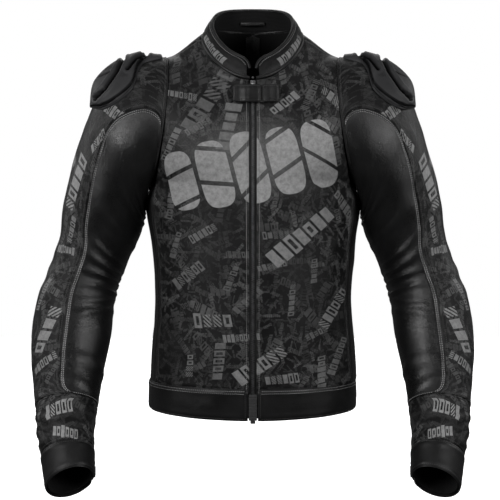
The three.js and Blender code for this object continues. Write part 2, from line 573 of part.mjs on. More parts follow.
for (const [name, side] of Object.entries(SIDES)) {
  const flip = side;
  // wedge(from, to) is the part of the sleeve between two angles, as a surface over (u, t)
  const wedge = (from, to) => mirrored(
    (u, t) => sleeve(t, mix(from(t) + WEDGE_INSET, to(t) - WEDGE_INSET, u)),
    side,
  );
  const tube = mirrored((deg, t) => sleeve(t, deg), side);
  const outerSide = wedge(() => PANEL_BACK - 360, panelFront);
  const innerSide = wedge(panelFront, () => PANEL_BACK);
  const upper = { v: [0.5, UPPER_END], nv: 9, flip };
  add(`upper_sleeve_outer_${name}`, slab(outerSide, { ...upper, nu: 12 }), PRINTED);
  add(`upper_sleeve_inner_${name}`, slab(innerSide, { ...upper, nu: 10 }), STRETCH);
  const elbowRows = { v: [UPPER_END + 1, FOREARM_START - 1], nu: 24, nv: 3, flip };
  add(`elbow_section_${name}`, ring(tube, elbowRows), STRETCH);
  const lower = { v: [FOREARM_START, PANEL_END_AT], nv: 5, flip };
  add(`forearm_outer_${name}`, slab(outerSide, { ...lower, nu: 12 }), PRINTED);
  add(`forearm_inner_${name}`, slab(innerSide, { ...lower, nu: 10 }), STRETCH);
  add(`forearm_lining_${name}`, ring(tube, {
    v: [FOREARM_START + 4, RIM_AT - 3], nu: 20, nv: 9, outer: -3.6, inner: -4.6, flip,
  }), MESH_LINING);

  const slotted = wedge(() => CUFF_ZIP_ANGLE + CUFF_SLOT - 360, () => CUFF_ZIP_ANGLE - CUFF_SLOT);
  const wristRows = { v: [PANEL_END_AT + SEAM, CUFF_AT - SEAM], nu: 24, nv: 2, flip };
  const cuffRows = { v: [CUFF_AT, RIM_AT], nu: 24, nv: 1, outer: 1, inner: -2, flip };
  add(`wrist_panel_${name}`, slab(slotted, wristRows), PRINTED);
  add(`cuff_${name}`, slab(slotted, { ...cuffRows, square: rimDirection(side) }), BLACK);
  const zipTrack = wedge(() => CUFF_ZIP_ANGLE - CUFF_TEETH, () => CUFF_ZIP_ANGLE + CUFF_TEETH);
  const teethRows = { v: [PANEL_END_AT + 3, RIM_AT - 1], nu: 1, nv: 5, flip };
  add(`cuff_zip_teeth_${name}`, slab(zipTrack, teethRows), METAL);
  const onCuff = ({ at, lift }) => sleeveFrame(at, CUFF_ZIP_ANGLE, side, lift);
  const slider = plate(rounded(CUFF_SLIDER.width, CUFF_SLIDER.height, 1.5), CUFF_SLIDER.thick);
  const pull = plate(pullShape(CUFF_PULL.width, CUFF_PULL.height), CUFF_PULL.thick);
  add(`cuff_zip_slider_${name}`, slider.applyMatrix4(onCuff(CUFF_SLIDER)), METAL);
  add(`cuff_zip_pull_${name}`, pull.applyMatrix4(onCuff(CUFF_PULL)), METAL);

  const cup = mirrored((u, t) => sleeve(t, u * cupHalf(t)), side);
  add(`shoulder_cup_${name}`, slab(cup, {
    u: [-1, 1], v: [CUP.from, CUP.to], nu: 10, nv: 12, outer: cupDome, inner: CUP.inner, flip,
  }), RUBBERY);
  const pad = mirrored((u, t) => sleeve(t, u * PAD.reach), side);
  add(`shoulder_pad_${name}`, slab(pad, {
    u: [-1, 1], v: [PAD.from, PAD.to], nu: 8, nv: 6, outer: PAD.outer, inner: PAD.inner, flip,
  }), FOAM);
  const elbowPad = mirrored((u, t) => sleeve(t, ELBOW_PAD.angle + u * ELBOW_PAD.reach), side);
  add(`elbow_pad_${name}`, slab(elbowPad, {
    u: [-1, 1], v: [FOREARM_START + ELBOW_PAD.from, FOREARM_START + ELBOW_PAD.to], nu: 8, nv: 8,
    outer: ELBOW_PAD.outer, inner: ELBOW_PAD.inner, flip,
  }), FOAM);

  const welt = mirrored((deg, k) => {
    const turn = (2 * Math.PI * k) / WELT.sides;
    const radius = ARMHOLE.radius - WELT.sink + WELT.high * Math.sin(turn);
    return armholePoint(deg, WELT.along + WELT.half * Math.cos(turn), radius);
  }, side);
  add(`armhole_welt_${name}`, torus(welt, WELT.steps, WELT.sides), BLACK);
}

export default jacket;
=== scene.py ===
"""Looks of the leather riding jacket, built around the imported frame.

Surfaces are worked out in millimetres and made in metres. +Z is up, -Y is the front of the jacket,
and the wearer's left is at +X.
"""

import math

import bpy
import numpy as np
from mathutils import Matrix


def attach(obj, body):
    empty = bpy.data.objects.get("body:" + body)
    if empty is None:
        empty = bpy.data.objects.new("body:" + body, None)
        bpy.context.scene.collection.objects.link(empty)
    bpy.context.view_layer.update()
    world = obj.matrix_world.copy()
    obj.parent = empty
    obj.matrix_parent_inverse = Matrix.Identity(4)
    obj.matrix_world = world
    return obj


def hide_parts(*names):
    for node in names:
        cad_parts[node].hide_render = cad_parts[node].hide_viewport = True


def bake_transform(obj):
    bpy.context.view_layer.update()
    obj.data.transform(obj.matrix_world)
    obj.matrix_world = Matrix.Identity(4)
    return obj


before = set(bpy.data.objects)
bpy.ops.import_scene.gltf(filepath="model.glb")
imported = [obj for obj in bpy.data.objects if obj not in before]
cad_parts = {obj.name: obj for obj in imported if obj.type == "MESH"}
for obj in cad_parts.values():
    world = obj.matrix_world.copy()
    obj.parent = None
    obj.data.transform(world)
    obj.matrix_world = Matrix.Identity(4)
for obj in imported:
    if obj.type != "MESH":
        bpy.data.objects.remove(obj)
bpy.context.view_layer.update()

MM = 0.001
SIDES = {"left": 1, "right": -1}

# ---- the jacket's own dimensions, as in the CAD model ------------------------------------
LEATHER = 2.0
LINING_TOP, LINING_BOTTOM = -2.5, -3.5      # levels of the lining's two faces, from the leather's outside
NECK = dict(half=80, front=-92, back=68, front_z=-36, side_z=33, back_z=46)
RIM = dict(half=65, front=-83, back=66, front_z=-3, side_z=58, back_z=86)
ZIP_CENTRE_Y, ZIP_CENTRE_Z, ZIP_RADIUS = 1540.42, -354.20, 1663.14
WAIST_Z, HEM_Z, HEM_DROP, BAND_LAP, BODY_Y = -531, -575, 4, 4.5, 2
SIDE_SEAM = math.radians(67.6)
HALF_WIDTH = [[-600, 169.5], [-531, 169.5], [-470, 167], [-430, 163], [-390, 160.5], [-330, 164.5],
              [-290, 169.5], [-255, 174], [-200, 173]]
BACK_Y = [[-600, 110], [-531, 109], [-460, 101], [-390, 97], [-290, 108], [-190, 121], [-100, 121],
          [0, 103], [46, 70], [60, 68]]
ARM_CENTRE = np.array([159.0, 5.0, -104.0])
ARM_RADIUS, ARM_YAW, ARM_LEAN, ARM_CORNER = 108, math.radians(9.7), math.radians(8), 150
TORSO_GAP, SLEEVE_GAP = 5, 0.5
NECK_SHARE, ARM_SHARE = 0.2, 0.5
# distance along the arm; outer x, z; inner x, z; centre y; half depth; forward pitch in degrees
STATIONS = np.array([
    [0, 144, 3, 174, -211, 5, 108, 0], [33, 203, -11, 176.5, -235, 5, 106, 0],
    [63, 243, -41, 177.5, -252, 6, 101, 0], [106, 273, -103, 180, -268, 8, 92, 0],
    [155, 296, -172, 187, -292, 10, 83, 0], [209, 312.5, -240, 203, -325, 11, 76, 3],
    [249, 317.5, -291, 213, -350, 8, 73, 7], [289, 335, -345, 224, -376, 3, 70, 12],
    [330, 354, -392, 229, -408, -8, 69, 18], [381, 361, -451, 232, -451, -28, 64, 24],
    [430, 358, -499, 241, -497, -51, 58, 29], [525, 343, -594, 251, -586, -111, 47.5, 37],
    [560, 333, -631, 249, -616, -139, 44, 41], [600, 321, -674, 246, -650, -171, 41, 44]], float)
PANEL_END, CUFF_AT, RIM_AT = 492, 560, 600      # where the long panels, the wrist panel and the cuff end
PANEL_BACK = 235            # the angle of the seam behind the sleeve, and below that of the one in front
PANEL_FRONT = [[0, 95], [6, 84], [17, 75], [29, 70], [60, 66], [128, 67], [192, 74], [262, 82],
               [323, 86], [402, 85], [468, 83], [482, 86], [489, 94], [492, 106], [506, 92], [600, 88]]
CUFF_ZIP_ANGLE = 206
COLLAR_END = math.radians(176.5)
STRIP_RADIUS = 168          # half width of the body where narrow strips follow the front's middle
QUARTER = math.pi / 2
X_AXIS = np.array([1.0, 0, 0])
# points inside the jacket that surfaces face away from
BEHIND_FRONT, CHEST, NECK_MIDDLE = (0, 500, -300), (0, 0, -250), (0, -12, 20)


# ---- small maths --------------------------------------------------------------------------
def mix(a, b, t):
    return a + (b - a) * t


def smooth(a, b, t):
    k = np.clip((t - a) / (b - a), 0, 1)
    return k * k * (3 - 2 * k)


def vec(x, y, z):
    return np.stack(np.broadcast_arrays(np.asarray(x, float), y, z), -1)


def unit(v):
    return v / np.maximum(np.linalg.norm(v, axis=-1, keepdims=True), 1e-9)


def hermite(p0, m0, p1, m1, u):
    u2, u3 = u * u, u * u * u
    return (2 * u3 - 3 * u2 + 1) * p0 + (u3 - 2 * u2 + u) * m0 + (3 * u2 - 2 * u3) * p1 + (u3 - u2) * m1


def through(pairs, t):
    """Smooth curve through rows of [parameter, value, ...]."""
    pairs = np.asarray(pairs, float)
    x, y = pairs[:, 0], pairs[:, 1:]
    low, high = np.r_[0, 0:len(x) - 1], np.r_[1:len(x), len(x) - 1]
    slope = (y[high] - y[low]) / (x[high] - x[low])[:, None]
    t = np.asarray(t, float)
    i = np.clip(np.searchsorted(x, t) - 1, 0, len(x) - 2)
    h = (x[i + 1] - x[i])[..., None]
    u = np.clip((t - x[i])[..., None] / h, 0, 1)
    out = hermite(y[i], slope[i] * h, y[i + 1], slope[i + 1] * h, u)
    return out[..., 0] if y.shape[1] == 1 else out


def noise(p, scale, seed):
    """Smooth value noise from -1 to 1 at points p."""
    q = p / scale
    cell = np.floor(q).astype(np.int64)
    f = q - cell
    f = f * f * (3 - 2 * f)
    total = 0
    for dx in (0, 1):
        for dy in (0, 1):
            for dz in (0, 1):
                n = ((cell[..., 0] + dx) * 73856093) ^ ((cell[..., 1] + dy) * 19349663)
                n = n ^ ((cell[..., 2] + dz) * 83492791) ^ (seed * 2654435)
                n = ((n ^ (n >> 13)) * 1274126177) & 0x7FFFFFFF
                n = ((n ^ (n >> 15)) * 97531) & 0x7FFFFFFF
                w = (f[..., 0] if dx else 1 - f[..., 0]) * (f[..., 1] if dy else 1 - f[..., 1])
                total = total + w * (f[..., 2] if dz else 1 - f[..., 2]) * (n / 0x3FFFFFFF - 1)
    return total


# ---- the jacket's surfaces ----------------------------------------------------------------
def zip_y(z):
    return ZIP_CENTRE_Y - np.sqrt(ZIP_RADIUS ** 2 - (z - ZIP_CENTRE_Z) ** 2)


def section(angle, z):
    """Horizontal section of the body; angle 0 is the centre front, pi the centre back."""
    depth = np.where(np.cos(angle) > 0, BODY_Y - zip_y(z), through(BACK_Y, z) - BODY_Y)
    return vec(through(HALF_WIDTH, z) * np.sin(angle), BODY_Y - depth * np.cos(angle), z)


def section_tangent(angle, z):
    depth = BODY_Y - zip_y(z) if angle < math.pi / 2 else through(BACK_Y, z) - BODY_Y
    return vec(through(HALF_WIDTH, z) * math.cos(angle), depth * math.sin(angle), 0)


def neck_loop(ring, angle):
    """Closed loop round the neck; angle 0 is the centre back, pi the centre front."""
    c2 = (ring["back_z"] + ring["front_z"] - 2 * ring["side_z"]) / 4
    mean = (ring["back_z"] + ring["front_z"] + 2 * ring["side_z"]) / 4
    c1 = (ring["back_z"] - ring["front_z"]) / 2
    return vec(ring["half"] * np.sin(angle),
               (ring["back"] + ring["front"]) / 2 + (ring["back"] - ring["front"]) / 2 * np.cos(angle),
               mean + c1 * np.cos(angle) + c2 * np.cos(2 * angle))


ARM_FRONT = np.array([-math.sin(ARM_YAW), -math.cos(ARM_YAW), 0])
ARM_UP = np.array([-math.sin(ARM_LEAN), 0, math.cos(ARM_LEAN)])
ARM_UP = unit(ARM_UP - ARM_UP.dot(ARM_FRONT) * ARM_FRONT)
ARM_AXIS = unit(np.cross(ARM_UP, ARM_FRONT))


def arm_radial(deg):
    a = np.radians(deg)[..., None]
    return ARM_UP * np.cos(a) + ARM_FRONT * np.sin(a)


def armhole_point(deg, along, radius=ARM_RADIUS):
    deg = np.asarray(deg, float)
    radius, along = np.asarray(radius, float)[..., None], np.asarray(along, float)[..., None]
    return ARM_CENTRE + arm_radial(deg) * radius + ARM_AXIS * along


SEAM_TOP_Z = armhole_point(ARM_CORNER, -TORSO_GAP)[2]


def body_panel(u, v, front):
    """Front or back panel of the +X side: u from the centre to the armhole and side seam, v downwards."""
    seam_angle = SIDE_SEAM if front else math.pi - SIDE_SEAM
    t = np.clip(v / NECK_SHARE, 0, 1)
    angle = mix(math.pi / 2, math.pi if front else 0, t)
    k = smooth(NECK_SHARE, NECK_SHARE + 0.13, v)[..., None]
    low_tangent = np.array([0.95, 0, -0.3]) * (1 - k) + np.array([1.0, 0, 0]) * k
    z = np.where(v < ARM_SHARE,
                 mix(-36 if front else 46, SEAM_TOP_Z, (v - NECK_SHARE) / (ARM_SHARE - NECK_SHARE)),
                 mix(SEAM_TOP_Z, WAIST_Z, (v - ARM_SHARE) / (1 - ARM_SHARE)))
    top = (v < NECK_SHARE)[..., None]
    a = np.where(top, neck_loop(NECK, angle), vec(0, zip_y(z) if front else through(BACK_Y, z), z))
    ta = unit(np.where(top, vec(mix(0.93, 0.95, t), 0, mix(-0.37, -0.3, t)), low_tangent))
    z = mix(SEAM_TOP_Z, WAIST_Z, np.clip((v - ARM_SHARE) / (1 - ARM_SHARE), 0, 1))
    seam = section_tangent(seam_angle, z) * (1 if front else -1)
    deg = through([[0, 0], [NECK_SHARE, 38], [ARM_SHARE, ARM_CORNER]], np.minimum(v, ARM_SHARE))
    deg = deg if front else -deg
    b_arm = armhole_point(deg, -TORSO_GAP)
    over = 0.93 * ARM_AXIS - 0.37 * arm_radial(deg)
    q = smooth(70, ARM_CORNER, np.abs(deg))[..., None]
    tb_arm = unit(over * (1 - q) + unit(seam) * q)
    corner = armhole_point(ARM_CORNER if front else -ARM_CORNER, -TORSO_GAP)
    join = smooth(ARM_SHARE, ARM_SHARE + 0.12, v)[..., None]
    b_side = section(seam_angle, z) + (corner - section(seam_angle, np.array(SEAM_TOP_Z))) * (1 - join)
    arm = (v < ARM_SHARE)[..., None]
    b, tb = np.where(arm, b_arm, b_side), np.where(arm, tb_arm, unit(seam))
    reach = np.linalg.norm(a - b, axis=-1)
    lower = smooth(NECK_SHARE, ARM_SHARE, v)
    la = mix(reach * 1.1, through(HALF_WIDTH, z) * SIDE_SEAM, lower)[..., None]
    lb = mix(reach, np.linalg.norm(seam, axis=-1) * SIDE_SEAM, lower)[..., None]
    p = hermite(a, ta * la, b, tb * lb, u[..., None])
    rise, cx, cz, wide, high = (-9, 80, -165, 60, 75) if front else (4, 85, -130, 55, 85)
    bump = rise * np.exp(-((p[..., 0] - cx) / wide) ** 2 - ((p[..., 2] - cz) / high) ** 2)
    p[..., 1] += bump * 4 * u * (1 - u)
    depth = BODY_Y - zip_y(p[..., 2]) if front else through(BACK_Y, p[..., 2]) - BODY_Y
    across, ahead = p[..., 0] / through(HALF_WIDTH, p[..., 2]), (BODY_Y - p[..., 1]) / depth
    round_off = section(np.arctan2(across, ahead), p[..., 2])
    return mix(p, round_off, smooth(0.84, 1, v)[..., None])


def side_panel(u, v):
    share = mix(ARM_SHARE, 1, v)
    one = np.ones_like(u)
    a, b = body_panel(one, share, True), body_panel(one, share, False)
    z = mix(SEAM_TOP_Z, WAIST_Z, v)
    span = math.pi - 2 * SIDE_SEAM
    low = smooth(0, 0.15, v)[..., None]
    reach = 180 - ARM_CORNER

    def arc(deg):
        return (armhole_point(deg + 1, 0) - armhole_point(deg - 1, 0)) * reach
    ta = arc(ARM_CORNER) * (1 - low) + section_tangent(SIDE_SEAM, z) * span * low
    tb = arc(-ARM_CORNER) * (1 - low) + section_tangent(math.pi - SIDE_SEAM, z) * span * low
    return hermite(a, ta, b, tb, u[..., None])


def sleeve(t, deg):
    """Sleeve surface of the +X side; 0 is its outer line, 90 the front, 180 the inner line."""
    t, deg = np.broadcast_arrays(np.asarray(t, float), np.asarray(deg, float))
    ox, oz, ix, iz, y, depth, pitch = np.moveaxis(through(STATIONS, t), -1, 0)
    pitch, yaw, a = np.radians(pitch), ARM_YAW * (1 - smooth(0, 90, t)), np.radians(deg)
    front = vec(-np.sin(yaw), -np.cos(yaw) * np.cos(pitch), np.sin(pitch)) * depth[..., None]
    across = vec((ox - ix) / 2, 0, (oz - iz) / 2)
    gap = (SLEEVE_GAP * (1 - smooth(0, 40, t)))[..., None]
    return (vec((ox + ix) / 2, y, (oz + iz) / 2) + across * np.cos(a)[..., None]
            + front * np.sin(a)[..., None] + ARM_AXIS * gap)


def collar(angle, t):
    start = math.radians(160)
    corner = np.clip((np.abs(angle) - start) / (COLLAR_END - start), 0, 1)
    height = mix(0.3, 1, (1 - corner ** 2.4) ** (1 / 2.4))
    base, rim = neck_loop(NECK, angle), neck_loop(RIM, angle)
    bow = 2.5 * np.sin(math.pi * np.asarray(t, float))
    p = base + (rim - base) * (t * height)[..., None]
    return p + vec(np.sin(angle), 0.8 * np.cos(angle), 0) * np.asarray(bow)[..., None]


# ---- folds and creases ----------------------------------------------------------------------
def fold(p, centre, along, length, width, height):
    """One soft fold: a ridge with a valley on each side, running along a direction."""
    d = p - np.array(centre, float)
    axis = unit(np.array(along, float))
    s = d @ axis
    beside = d - s[..., None] * axis
    side = np.sign(beside[..., 2] + 1e-9) * np.linalg.norm(beside, axis=-1) / width
    ridge, valleys = 1.6 * np.exp(-side ** 2 * 1.6), 0.75 * np.exp(-side ** 2 * 0.5)
    return height * np.exp(-(s / length) ** 2) * (ridge - valleys)


BODY_FOLDS = [  # centre, direction, half length, width, height: the +X side, at the front and back
    ((128, -78, -232), (-0.8, 0, -0.6), 46, 9, 2.6), ((136, -70, -262), (-0.85, 0, -0.5), 40, 10, 2.2),
    ((132, -74, -300), (-0.9, 0, -0.3), 42, 12, 1.8), ((120, -90, -470), (1, 0, 0.18), 55, 9, 2.0),
    ((105, -98, -500), (1, 0, -0.12), 60, 8, 2.2), ((40, -112, -512), (1, 0, 0.1), 45, 8, 1.5),
    ((130, -80, -430), (0.9, 0, 0.4), 45, 11, 1.7), ((95, 105, -400), (1, 0, 0.25), 60, 13, 2.6),
    ((40, 100, -370), (1, 0, 0.05), 60, 12, 2.2), ((110, 100, -470), (1, 0, 0.3), 55, 11, 2.6),
    ((60, 108, -500), (1, 0, -0.05), 70, 9, 2.4), ((130, 90, -250), (0.75, 0, -0.6), 45, 11, 2.6),
]


def body_relief(p):
    q = p.copy()
    q[..., 0] = np.abs(q[..., 0])
    out = 0.0
    for centre, along, length, width, height in BODY_FOLDS:
        near = np.exp(-((q[..., 1] - centre[1]) / 45) ** 2)
        out = out + fold(q, centre, along, length, width, height) * near
    wave = noise(p * np.array([1, 1, 0.8]), 62, 3) * 1.3 + noise(p, 27, 5) * 0.55 + noise(p, 11, 9) * 0.16
    fuller = 2.6 * smooth(90, 150, p[..., 0]) * smooth(-290, -340, p[..., 2]) * smooth(-560, -520, p[..., 2])
    fuller = fuller + 3.2 * np.exp(-((p[..., 2] + 224) / 15) ** 2) * smooth(148, 162, q[..., 0])
    calm = 1 - 0.85 * smooth(-508, -524, p[..., 2])
    return (out + wave) * calm + fuller


SLEEVE_FOLDS = [  # t, angle, slope, half width in degrees, width along the arm, height
    (262, 150, 10, 52, 8, 3.0), (282, 160, 4, 58, 8, 3.6), (303, 165, -4, 60, 8, 3.4),
    (324, 155, -12, 50, 9, 2.6), (236, 140, 16, 45, 9, 2.0), (350, 140, -14, 48, 10, 2.0),
    (60, 150, 16, 40, 9, 2.4), (84, 160, 10, 40, 9, 2.4), (112, 165, 6, 42, 10, 1.9),
    (470, 100, 8, 60, 7, 1.7), (505, 120, 8, 60, 7, 2.3), (521, 80, -6, 60, 6, 2.1),
    (538, 130, 5, 60, 6, 2.2), (514, 20, 8, 50, 7, 1.8), (533, 330, -8, 55, 7, 2.2),
    (548, 20, 4, 60, 6, 1.7), (440, 160, 5, 50, 9, 1.7), (290, 20, 6, 50, 12, 1.6),
    (270, 330, -5, 60, 12, 1.8), (310, 300, 6, 60, 12, 2.0), (180, 150, 12, 45, 12, 1.5),
]


def sleeve_relief(t, deg, p, seed):
    out = 0.0
    for at, angle, slope, half, width, height in SLEEVE_FOLDS:
        turn = (deg - angle + 180) % 360 - 180
        off = (t - at - slope * turn / 45 - 2.5 * np.sin(turn / 17 + at)) / width
        out = out + height * np.exp(-(turn / half) ** 2) * (1.9 * np.exp(-off ** 2 * 1.6)
                                                            - 0.9 * np.exp(-off ** 2 * 0.5))
    rim = 1 - smooth(RIM_AT - 45, RIM_AT - 12, t)
    start = smooth(0, 26, t)
    wave = noise(p * np.array([1, 1, 0.7]), 55, seed) * 1.5 + noise(p, 24, seed + 2) * 0.8
    return (out + wave) * rim * start + noise(p, 10, seed + 4) * 0.14


# ---- making meshes ----------------------------------------------------------------------------
def lines(length, step):
    """Grid lines from 0 to 1 that run close together beside both edges, where the seams are."""
    edge = [0, 0.7, 1.4, 2.2, 3.0, 3.8, 4.6, 5.6, 7.2, 9.5, 12.5]
    count = max(2, int(round((length - 2 * edge[-1]) / step)))
    inner = np.linspace(edge[-1], length - edge[-1], count + 1)[1:-1]
    return np.r_[edge, inner, [length - e for e in reversed(edge)]] / length


def grid_normals(p, away=None, wrap=False):
    """Outward normals of a grid: away from a point, or from the middle of each row."""
    if wrap:
        du = np.roll(p, -1, 1) - np.roll(p, 1, 1)
    else:
        du = np.gradient(p, axis=1)
    n = unit(np.cross(du, np.gradient(p, axis=0)))
    centre = p.mean(1, keepdims=True) if away is None else np.array(away, float)
    return n if (n * (p - centre)).sum(-1).mean() > 0 else -n


def spans(p):
    """Distance of each grid point from the first and last column, and from the first and last row."""
    across = np.pad(np.cumsum(np.linalg.norm(np.diff(p, axis=1), axis=-1), 1), ((0, 0), (1, 0)))
    down = np.pad(np.cumsum(np.linalg.norm(np.diff(p, axis=0), axis=-1), 0), ((1, 0), (0, 0)))
    return across, across[:, -1:] - across, down, down[-1:] - down


def seam_profile(d):
    """How a sewn edge dips: it pinches at the seam, puffs beside it, and the stitches press in."""
    return (-1.5 * (1 - smooth(0, 2.6, d)) + 0.55 * np.exp(-((d - 8) / 3.6) ** 2)
            - 0.4 * np.exp(-((d - 3.8) / 0.9) ** 2))


def make(name, verts, faces, material, uv=None, sharp=38):
    """A mesh object from points in millimetres, with faces turned outwards."""
    verts = np.asarray(verts, float) * MM
    mesh = bpy.data.meshes.new(name)
    mesh.from_pydata(verts.tolist(), [], faces)
    mesh.update()
    if uv is not None:
        layer = mesh.uv_layers.new(name="UVMap")
        index = np.zeros(len(mesh.loops), np.int64)
        mesh.loops.foreach_get("vertex_index", index)
        layer.data.foreach_set("uv", (np.asarray(uv, float)[index] * MM).astype(np.float32).ravel())
    mesh.shade_smooth()
    mesh.set_sharp_from_angle(angle=math.radians(sharp))
    mesh.materials.append(material)
    obj = bpy.data.objects.new(name, mesh)
    bpy.context.scene.collection.objects.link(obj)
    return obj


def slab_faces(nv, nu, outer, inner, wrap=False):
    """Quads of a closed slab between two grids of nv by nu points."""
    step = nv * nu
    j, i = np.meshgrid(np.arange(nv - 1), np.arange(nu if wrap else nu - 1), indexing="ij")
    a, b = (j * nu + i).ravel(), (j * nu + (i + 1) % nu).ravel()
    quads = [np.stack([a, b, b + nu, a + nu], 1), np.stack([a, a + nu, b + nu, b], 1) + step]
    i = np.arange(nu if wrap else nu - 1)
    n = (i + 1) % nu
    last = (nv - 1) * nu
    quads += [np.stack([n, i, i + step, n + step], 1),
              np.stack([i + last, n + last, n + last + step, i + last + step], 1)]
    if not wrap:
        j = np.arange(nv - 1) * nu
        quads += [np.stack([j, j + nu, j + nu + step, j + step], 1)]
        j = j + nu - 1
        quads += [np.stack([j + nu, j, j + step, j + nu + step], 1)]
    faces = np.concatenate(quads)
    p = np.concatenate([outer.reshape(-1, 3), inner.reshape(-1, 3)])
    q = p[faces]
    volume = (np.cross(q[:, 0], q[:, 1]) * q[:, 2]).sum() + (np.cross(q[:, 0], q[:, 2]) * q[:, 3]).sum()
    return p, (faces if volume > 0 else faces[:, ::-1]).tolist()


class Panel:
    """A sewn panel: its outer surface with relief and sunk seams, and what its trims need."""

    def __init__(self, name, p, material, slot, relief=0.0, seams="lrtb", thick=LEATHER, away=None,
                 wrap=False, uv=None, lift=0.0, strength=1.0, soften=None):
        n = grid_normals(p, away, wrap)
        p = p + n * np.asarray(relief)[..., None]
        n = grid_normals(p, away, wrap)
        self.gaps = dict(zip("lrtb", spans(p)))
        dip = 0.0
        for key in seams:
            dip = dip + seam_profile(self.gaps[key]) * (soften or {}).get(key, 1.0)
        dip = np.clip(dip, -1.5, 0.7)
        self.outer = p + n * (lift + dip * strength)[..., None]
        self.inner = p + n * (lift - thick)
        self.base, self.normal, self.name, self.wrap = p, n, name, wrap
        if uv is None:
            uv = np.stack([self.gaps["l"], -self.gaps["t"]], -1)
        both = np.concatenate([uv.reshape(-1, 2)] * 2)
        verts, faces = slab_faces(p.shape[0], p.shape[1], self.outer, self.inner, wrap)
        self.obj = make(name, verts, faces, material, both)

    def path(self, edge, distance, trim=(0, 0)):
        """The line on the surface at that distance from an edge: its points and normals."""
        gap, p, n = self.gaps[edge], self.outer, grid_normals(self.outer)
        if (n * self.normal).sum() < 0:
            n = -n
        if edge in "tb":
            gap, p, n = gap.T, p.transpose(1, 0, 2), n.transpose(1, 0, 2)
        if edge in "rb":
            gap, p, n = gap[:, ::-1], p[:, ::-1], n[:, ::-1]
        at = np.array([np.searchsorted(g, distance) for g in gap]).clip(1, gap.shape[1] - 1)
        rows = np.arange(len(gap))
        low, high = gap[rows, at - 1], gap[rows, at]
        k = np.clip((distance - low) / np.maximum(high - low, 1e-6), 0, 1)[:, None]
        points = mix(p[rows, at - 1], p[rows, at], k)
        normals = unit(mix(n[rows, at - 1], n[rows, at], k))
        return cut_path(points, normals, trim)


def cut_path(points, normals, trim):
    s = np.r_[0, np.cumsum(np.linalg.norm(np.diff(points, axis=0), axis=-1))]
    keep = (s >= trim[0]) & (s <= s[-1] - trim[1])
    return points[keep], normals[keep]


def resample(points, normals, pitch):
    s = np.r_[0, np.cumsum(np.linalg.norm(np.diff(points, axis=0), axis=-1))]
    at = np.arange(pitch / 2, s[-1], pitch)
    p = np.stack([np.interp(at, s, points[:, k]) for k in range(3)], -1)
    n = unit(np.stack([np.interp(at, s, normals[:, k]) for k in range(3)], -1))
    if len(at) < 3:
        return p, n, n
    t = unit(np.gradient(p, axis=0))
    return p, n, t


def stitch_mesh(name, paths, material, pitch=3.3, length=2.3, radius=0.42, sink=0.05):
    """Rows of separate stitches, each a small rounded bar of thread."""
    rings = [(-0.5, 0.35), (-0.3, 1.0), (0.3, 1.0), (0.5, 0.35)]
    sides = 5
    verts, faces = [], []
    count = 0
    for points, normals in paths:
        if len(points) < 4:
            continue
        p, n, t = resample(points, normals, pitch)
        if len(p) < 3:
            continue
        b = unit(np.cross(t, n))
        n = unit(np.cross(b, t))
        for s, r in rings:
            for k in range(sides):
                a = 2 * math.pi * k / sides
                verts.append(p + t * s * length + (b * math.cos(a) + n * math.sin(a)) * r * radius
                             + n * (radius * 0.5 - sink))
        total = len(p)
        for m in range(total):
            def at(ring, k):
                return count + (ring * sides + k % sides) * total + m
            for ring in range(len(rings) - 1):
                for k in range(sides):
                    faces.append((at(ring, k), at(ring, k + 1), at(ring + 1, k + 1), at(ring + 1, k)))
            faces.append(tuple(at(0, k) for k in reversed(range(sides))))
            faces.append(tuple(at(len(rings) - 1, k) for k in range(sides)))
        count += total * sides * len(rings)
    return make(name, np.concatenate(verts), faces, material, sharp=80)


def sweep(name, points, normals, profile, material, closed=False, sharp=50):
    """A closed profile of (across, up) points swept along a path, with closed ends."""
    t = np.gradient(points, axis=0)
    if closed:
        t = np.roll(points, -1, 0) - np.roll(points, 1, 0)
    t = unit(t)
    b = unit(np.cross(t, normals))
    n = unit(np.cross(b, t))
    prof = np.asarray(profile, float)
    count, k = len(points), len(prof)
    verts = points[:, None] + b[:, None] * prof[None, :, :1] + n[:, None] * prof[None, :, 1:]
    around = np.r_[0, np.cumsum(np.linalg.norm(np.diff(prof, axis=0), axis=-1))]
    along = np.r_[0, np.cumsum(np.linalg.norm(np.diff(points, axis=0), axis=-1))]
    uv = np.stack(np.broadcast_arrays(around[None], along[:, None]), -1)
    faces = []
    for i in range(count if closed else count - 1):
        j = (i + 1) % count
        for a in range(k):
            c = (a + 1) % k
            faces.append((i * k + a, i * k + c, j * k + c, j * k + a))
    if not closed:
        faces.append(tuple(reversed(range(k))))
        faces.append(tuple((count - 1) * k + a for a in range(k)))
    flat = verts.reshape(-1, 3)
    q = np.array([flat[list(f)] for f in faces[:k * (count - 1)]])
    centre = points[:-1].repeat(k, 0)
    facing = np.cross(q[:, 1] - q[:, 0], q[:, 3] - q[:, 0])
    if (facing * (q.mean(1) - centre)).sum() < 0:
        faces = [tuple(reversed(f)) for f in faces]
    return make(name, flat, faces, material, uv.reshape(-1, 2), sharp)


# ---- materials --------------------------------------------------------------------------------
def feed(tree, socket, value):
    """Link a value that varies over the surface, or set a constant on the socket itself."""
    value = value.socket if isinstance(value, Num) else value
    if isinstance(value, bpy.types.NodeSocket):
        tree.links.new(value, socket)
    else:
        socket.default_value = value


def put(tree, kind, inputs=None, **props):
    node = tree.nodes.new(kind)
    for key, value in props.items():
        setattr(node, key, value)
    for key, value in (inputs or {}).items():
        feed(tree, node.inputs[key], value)
    return node


